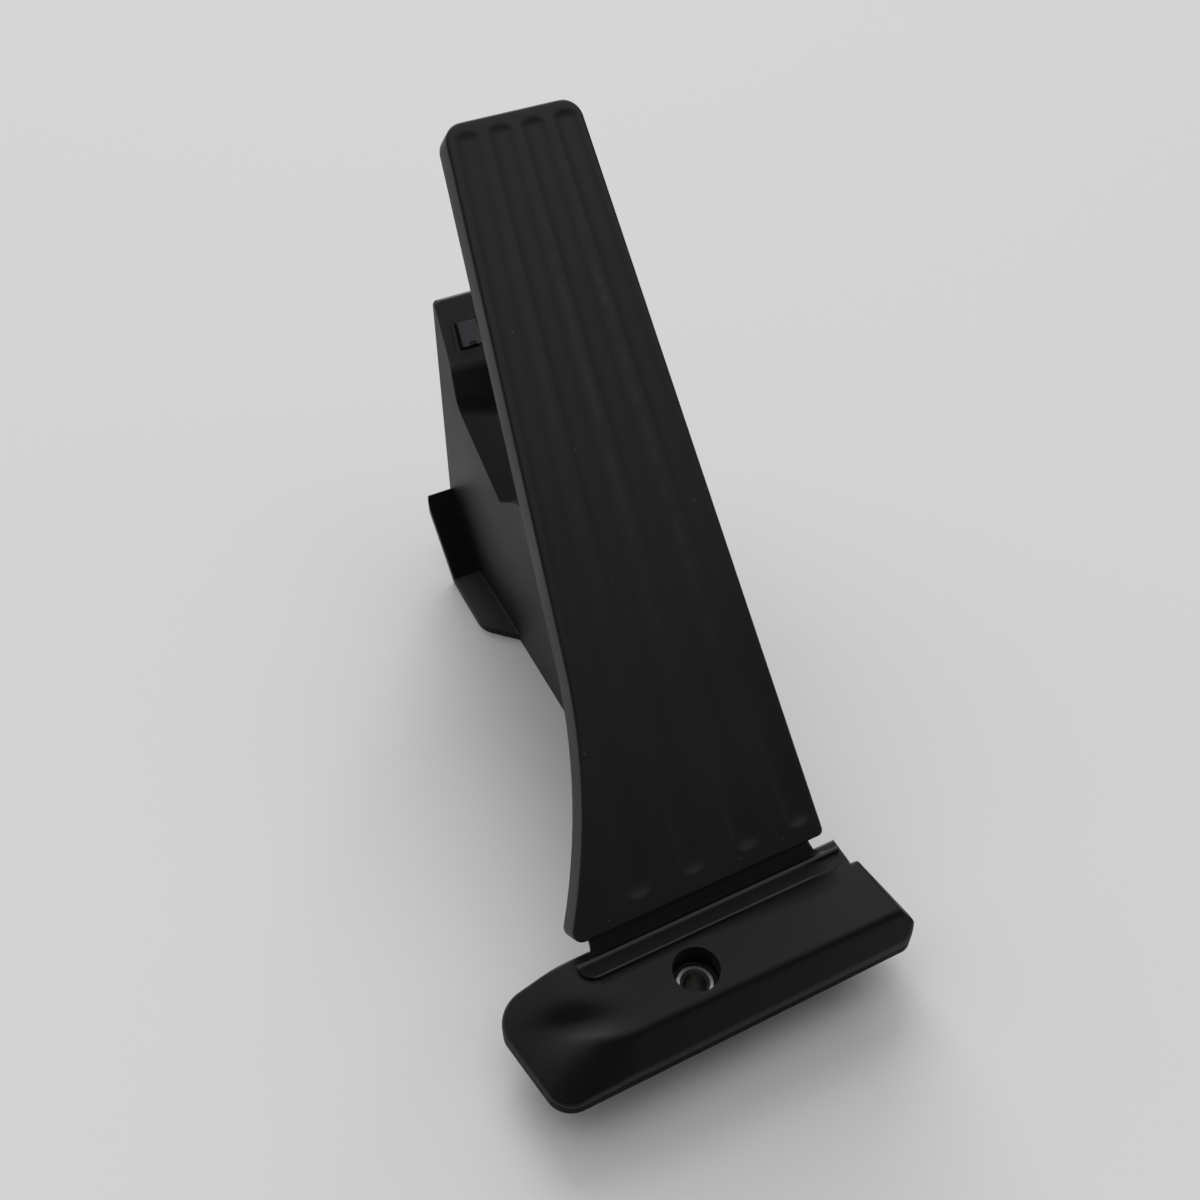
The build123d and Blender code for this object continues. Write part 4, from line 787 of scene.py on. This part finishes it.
class PEDAL_OT_screws(bpy.types.Operator):
    """Flanged screws that hold the housing's cover"""
    bl_idname = "pedal.screws"
    bl_label = "Cover screws"

    def execute(self, context):
        sizes = context.scene.pedal_fastenings
        # Steel, headed and zinc plated: bright flats on the hexagon
        steel = finish("Zinc-plated steel, headed", context.scene.pedal_finishes.steel, roughness=0.3, metallic=1.0,
                       grain=0.3, height=0.003)
        low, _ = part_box("cover_screws")
        tree, given = new_tree("Cover screws", Flange="Float", Head="Float", Shank="Float", Length="Float")
        drop = put(tree, "ShaderNodeMath", given["Length"], -0.5, operation="MULTIPLY")
        below = put(tree, "ShaderNodeCombineXYZ", 0.0, 0.0, drop)
        screw = put(tree, "GeometryNodeJoinGeometry")
        for radius, sides, tall, middle in (
                (given["Flange"], FLANGE_SIDES, FLANGE_THICK, (0, 0, FLANGE_THICK / 2)),
                (given["Head"], HEAD_SIDES, HEAD_TALL, (0, 0, FLANGE_THICK + HEAD_TALL / 2)),
                (given["Shank"], SHANK_SIDES, given["Length"], below)):
            turned = put(tree, "GeometryNodeMeshCylinder", named={
                "Vertices": sides, "Radius": radius, "Depth": tall})
            placed = put(tree, "GeometryNodeTransform", named={"Geometry": turned, "Translation": middle})
            tree.links.new(placed.outputs[0], screw.inputs[0])
        set_out = put(tree, "GeometryNodeInstanceOnPoints", named={
            "Points": given["Geometry"], "Instance": screw, "Rotation": (0, math.radians(90), 0)})
        end_tree(tree, set_out, steel)
        points = bpy.data.meshes.new("Screw places")
        points.from_pydata([(SCREW_SEAT, y * MM, z * MM) for y, z in SCREW_PLACES], [], [])
        mesh = apply_tree("Cover screws", points, tree, {
            "Flange": sizes.flange, "Head": sizes.head, "Shank": SCREW_SHANK, "Length": SCREW_SEAT - low.x})
        smooth(mesh, degrees=40)
        add_piece("flanged_screws", mesh, "base", "cover_screws")
        return {"FINISHED"}


class PEDAL_OT_stage(bpy.types.Operator):
    """Table, light and camera"""
    bl_idname = "pedal.stage"
    bl_label = "Stage"

    def execute(self, context):
        scene = context.scene
        stage = scene.pedal_stage
        mesh = bpy.data.meshes.new("Table")
        corners = [(x * TABLE_HALF, y * TABLE_HALF, 0) for x, y in ((-1, -1), (1, -1), (1, 1), (-1, 1))]
        mesh.from_pydata(corners, [], [(0, 1, 2, 3)])
        table = bpy.data.objects.new("Table", mesh)
        scene.collection.objects.link(table)
        # Laminate, pressed matt: even and pale, with only a broad sheen
        white = bpy.data.materials.new("Matt laminate")
        white.use_nodes = True
        shader = white.node_tree.nodes["Principled BSDF"]
        shader.inputs["Base Color"].default_value = stage.floor
        shader.inputs["Roughness"].default_value = TABLE_ROUGH
        shader.inputs["Specular IOR Level"].default_value = TABLE_GLOSS
        mesh.materials.append(white)
        world = bpy.data.worlds.new("Studio")
        world.use_nodes = True
        tree = world.node_tree
        # Bright behind and dim in front, with a softer patch overhead and a faint fill at the front left
        towards = put(tree, "ShaderNodeTexCoord").outputs["Generated"]
        height = put(tree, "ShaderNodeSeparateXYZ", towards).outputs["Z"]
        sky = put(tree, "ShaderNodeMapRange", height, 0.0, ROOM_HEIGHT, stage.horizon, 0.0)
        for axis, span, least, most in ((BACK_TOWARDS, BACK_SPAN, BACK_LEAST, stage.back),
                                        (CEILING_TOWARDS, CEILING_SPAN, 0.0, stage.patch),
                                        (FILL_TOWARDS, FILL_SPAN, 0.0, stage.fill)):
            close = put(tree, "ShaderNodeVectorMath", towards, axis, operation="DOT_PRODUCT").outputs["Value"]
            light = put(tree, "ShaderNodeMapRange", close, *span, least, most, interpolation_type="SMOOTHSTEP")
            sky = put(tree, "ShaderNodeMath", sky, light, operation="ADD")
        tree.links.new(sky.outputs[0], tree.nodes["Background"].inputs["Strength"])
        tree.nodes["Background"].inputs["Color"].default_value = srgb(STUDIO_TINT)
        scene.world = world
        lamp = bpy.data.lights.new("Window", "SUN")
        lamp.angle, lamp.energy = WINDOW_SPREAD, stage.key
        window = bpy.data.objects.new("Window", lamp)
        window.rotation_euler = WINDOW_AIM.to_track_quat("-Z", "Y").to_euler()
        scene.collection.objects.link(window)
        camera = bpy.data.objects.new("Camera", bpy.data.cameras.new("Camera"))
        camera.data.lens = stage.lens
        camera.data.sensor_width = CAMERA_SENSOR
        camera.data.clip_start = CAMERA_NEAR
        turn = Matrix((CAMERA_RIGHT, -CAMERA_DOWN, -CAMERA_LOOK)).transposed().to_4x4()
        camera.matrix_world = Matrix.Translation(CAMERA_AT) @ turn
        scene.collection.objects.link(camera)
        scene.camera = camera
        scene.view_settings.view_transform = "Standard"
        return {"FINISHED"}


class PEDAL_PT_panel(bpy.types.Panel):
    """Lists what dresses the pedal"""
    bl_idname = "PEDAL_PT_panel"
    bl_label = "Accelerator pedal"
    bl_space_type = "VIEW_3D"
    bl_region_type = "UI"
    bl_category = "Pedal"

    def draw(self, context):
        for operator in OPERATORS:
            self.layout.operator(operator.bl_idname)


SETTINGS = {"pedal_finishes": PedalFinishes, "pedal_flutes": PedalFlutes, "pedal_fastenings": PedalFastenings,
            "pedal_stage": PedalStage}
OPERATORS = (PEDAL_OT_pad, PEDAL_OT_foot, PEDAL_OT_leaf, PEDAL_OT_mouldings, PEDAL_OT_springs, PEDAL_OT_screws,
             PEDAL_OT_stage)
CLASSES = (*SETTINGS.values(), *OPERATORS, PEDAL_PT_panel)


def register():
    for cls in CLASSES:
        bpy.utils.register_class(cls)
    for name, group in SETTINGS.items():
        setattr(bpy.types.Scene, name, bpy.props.PointerProperty(type=group))


def unregister():
    for name in SETTINGS:
        delattr(bpy.types.Scene, name)
    for cls in reversed(CLASSES):
        bpy.utils.unregister_class(cls)


def main():
    register()
    bpy.ops.pedal.pad()
    bpy.ops.pedal.foot()
    bpy.ops.pedal.leaf()
    bpy.ops.pedal.mouldings()
    bpy.ops.pedal.springs()
    bpy.ops.pedal.screws()
    bpy.ops.pedal.stage()


if __name__ == "__main__":
    main()
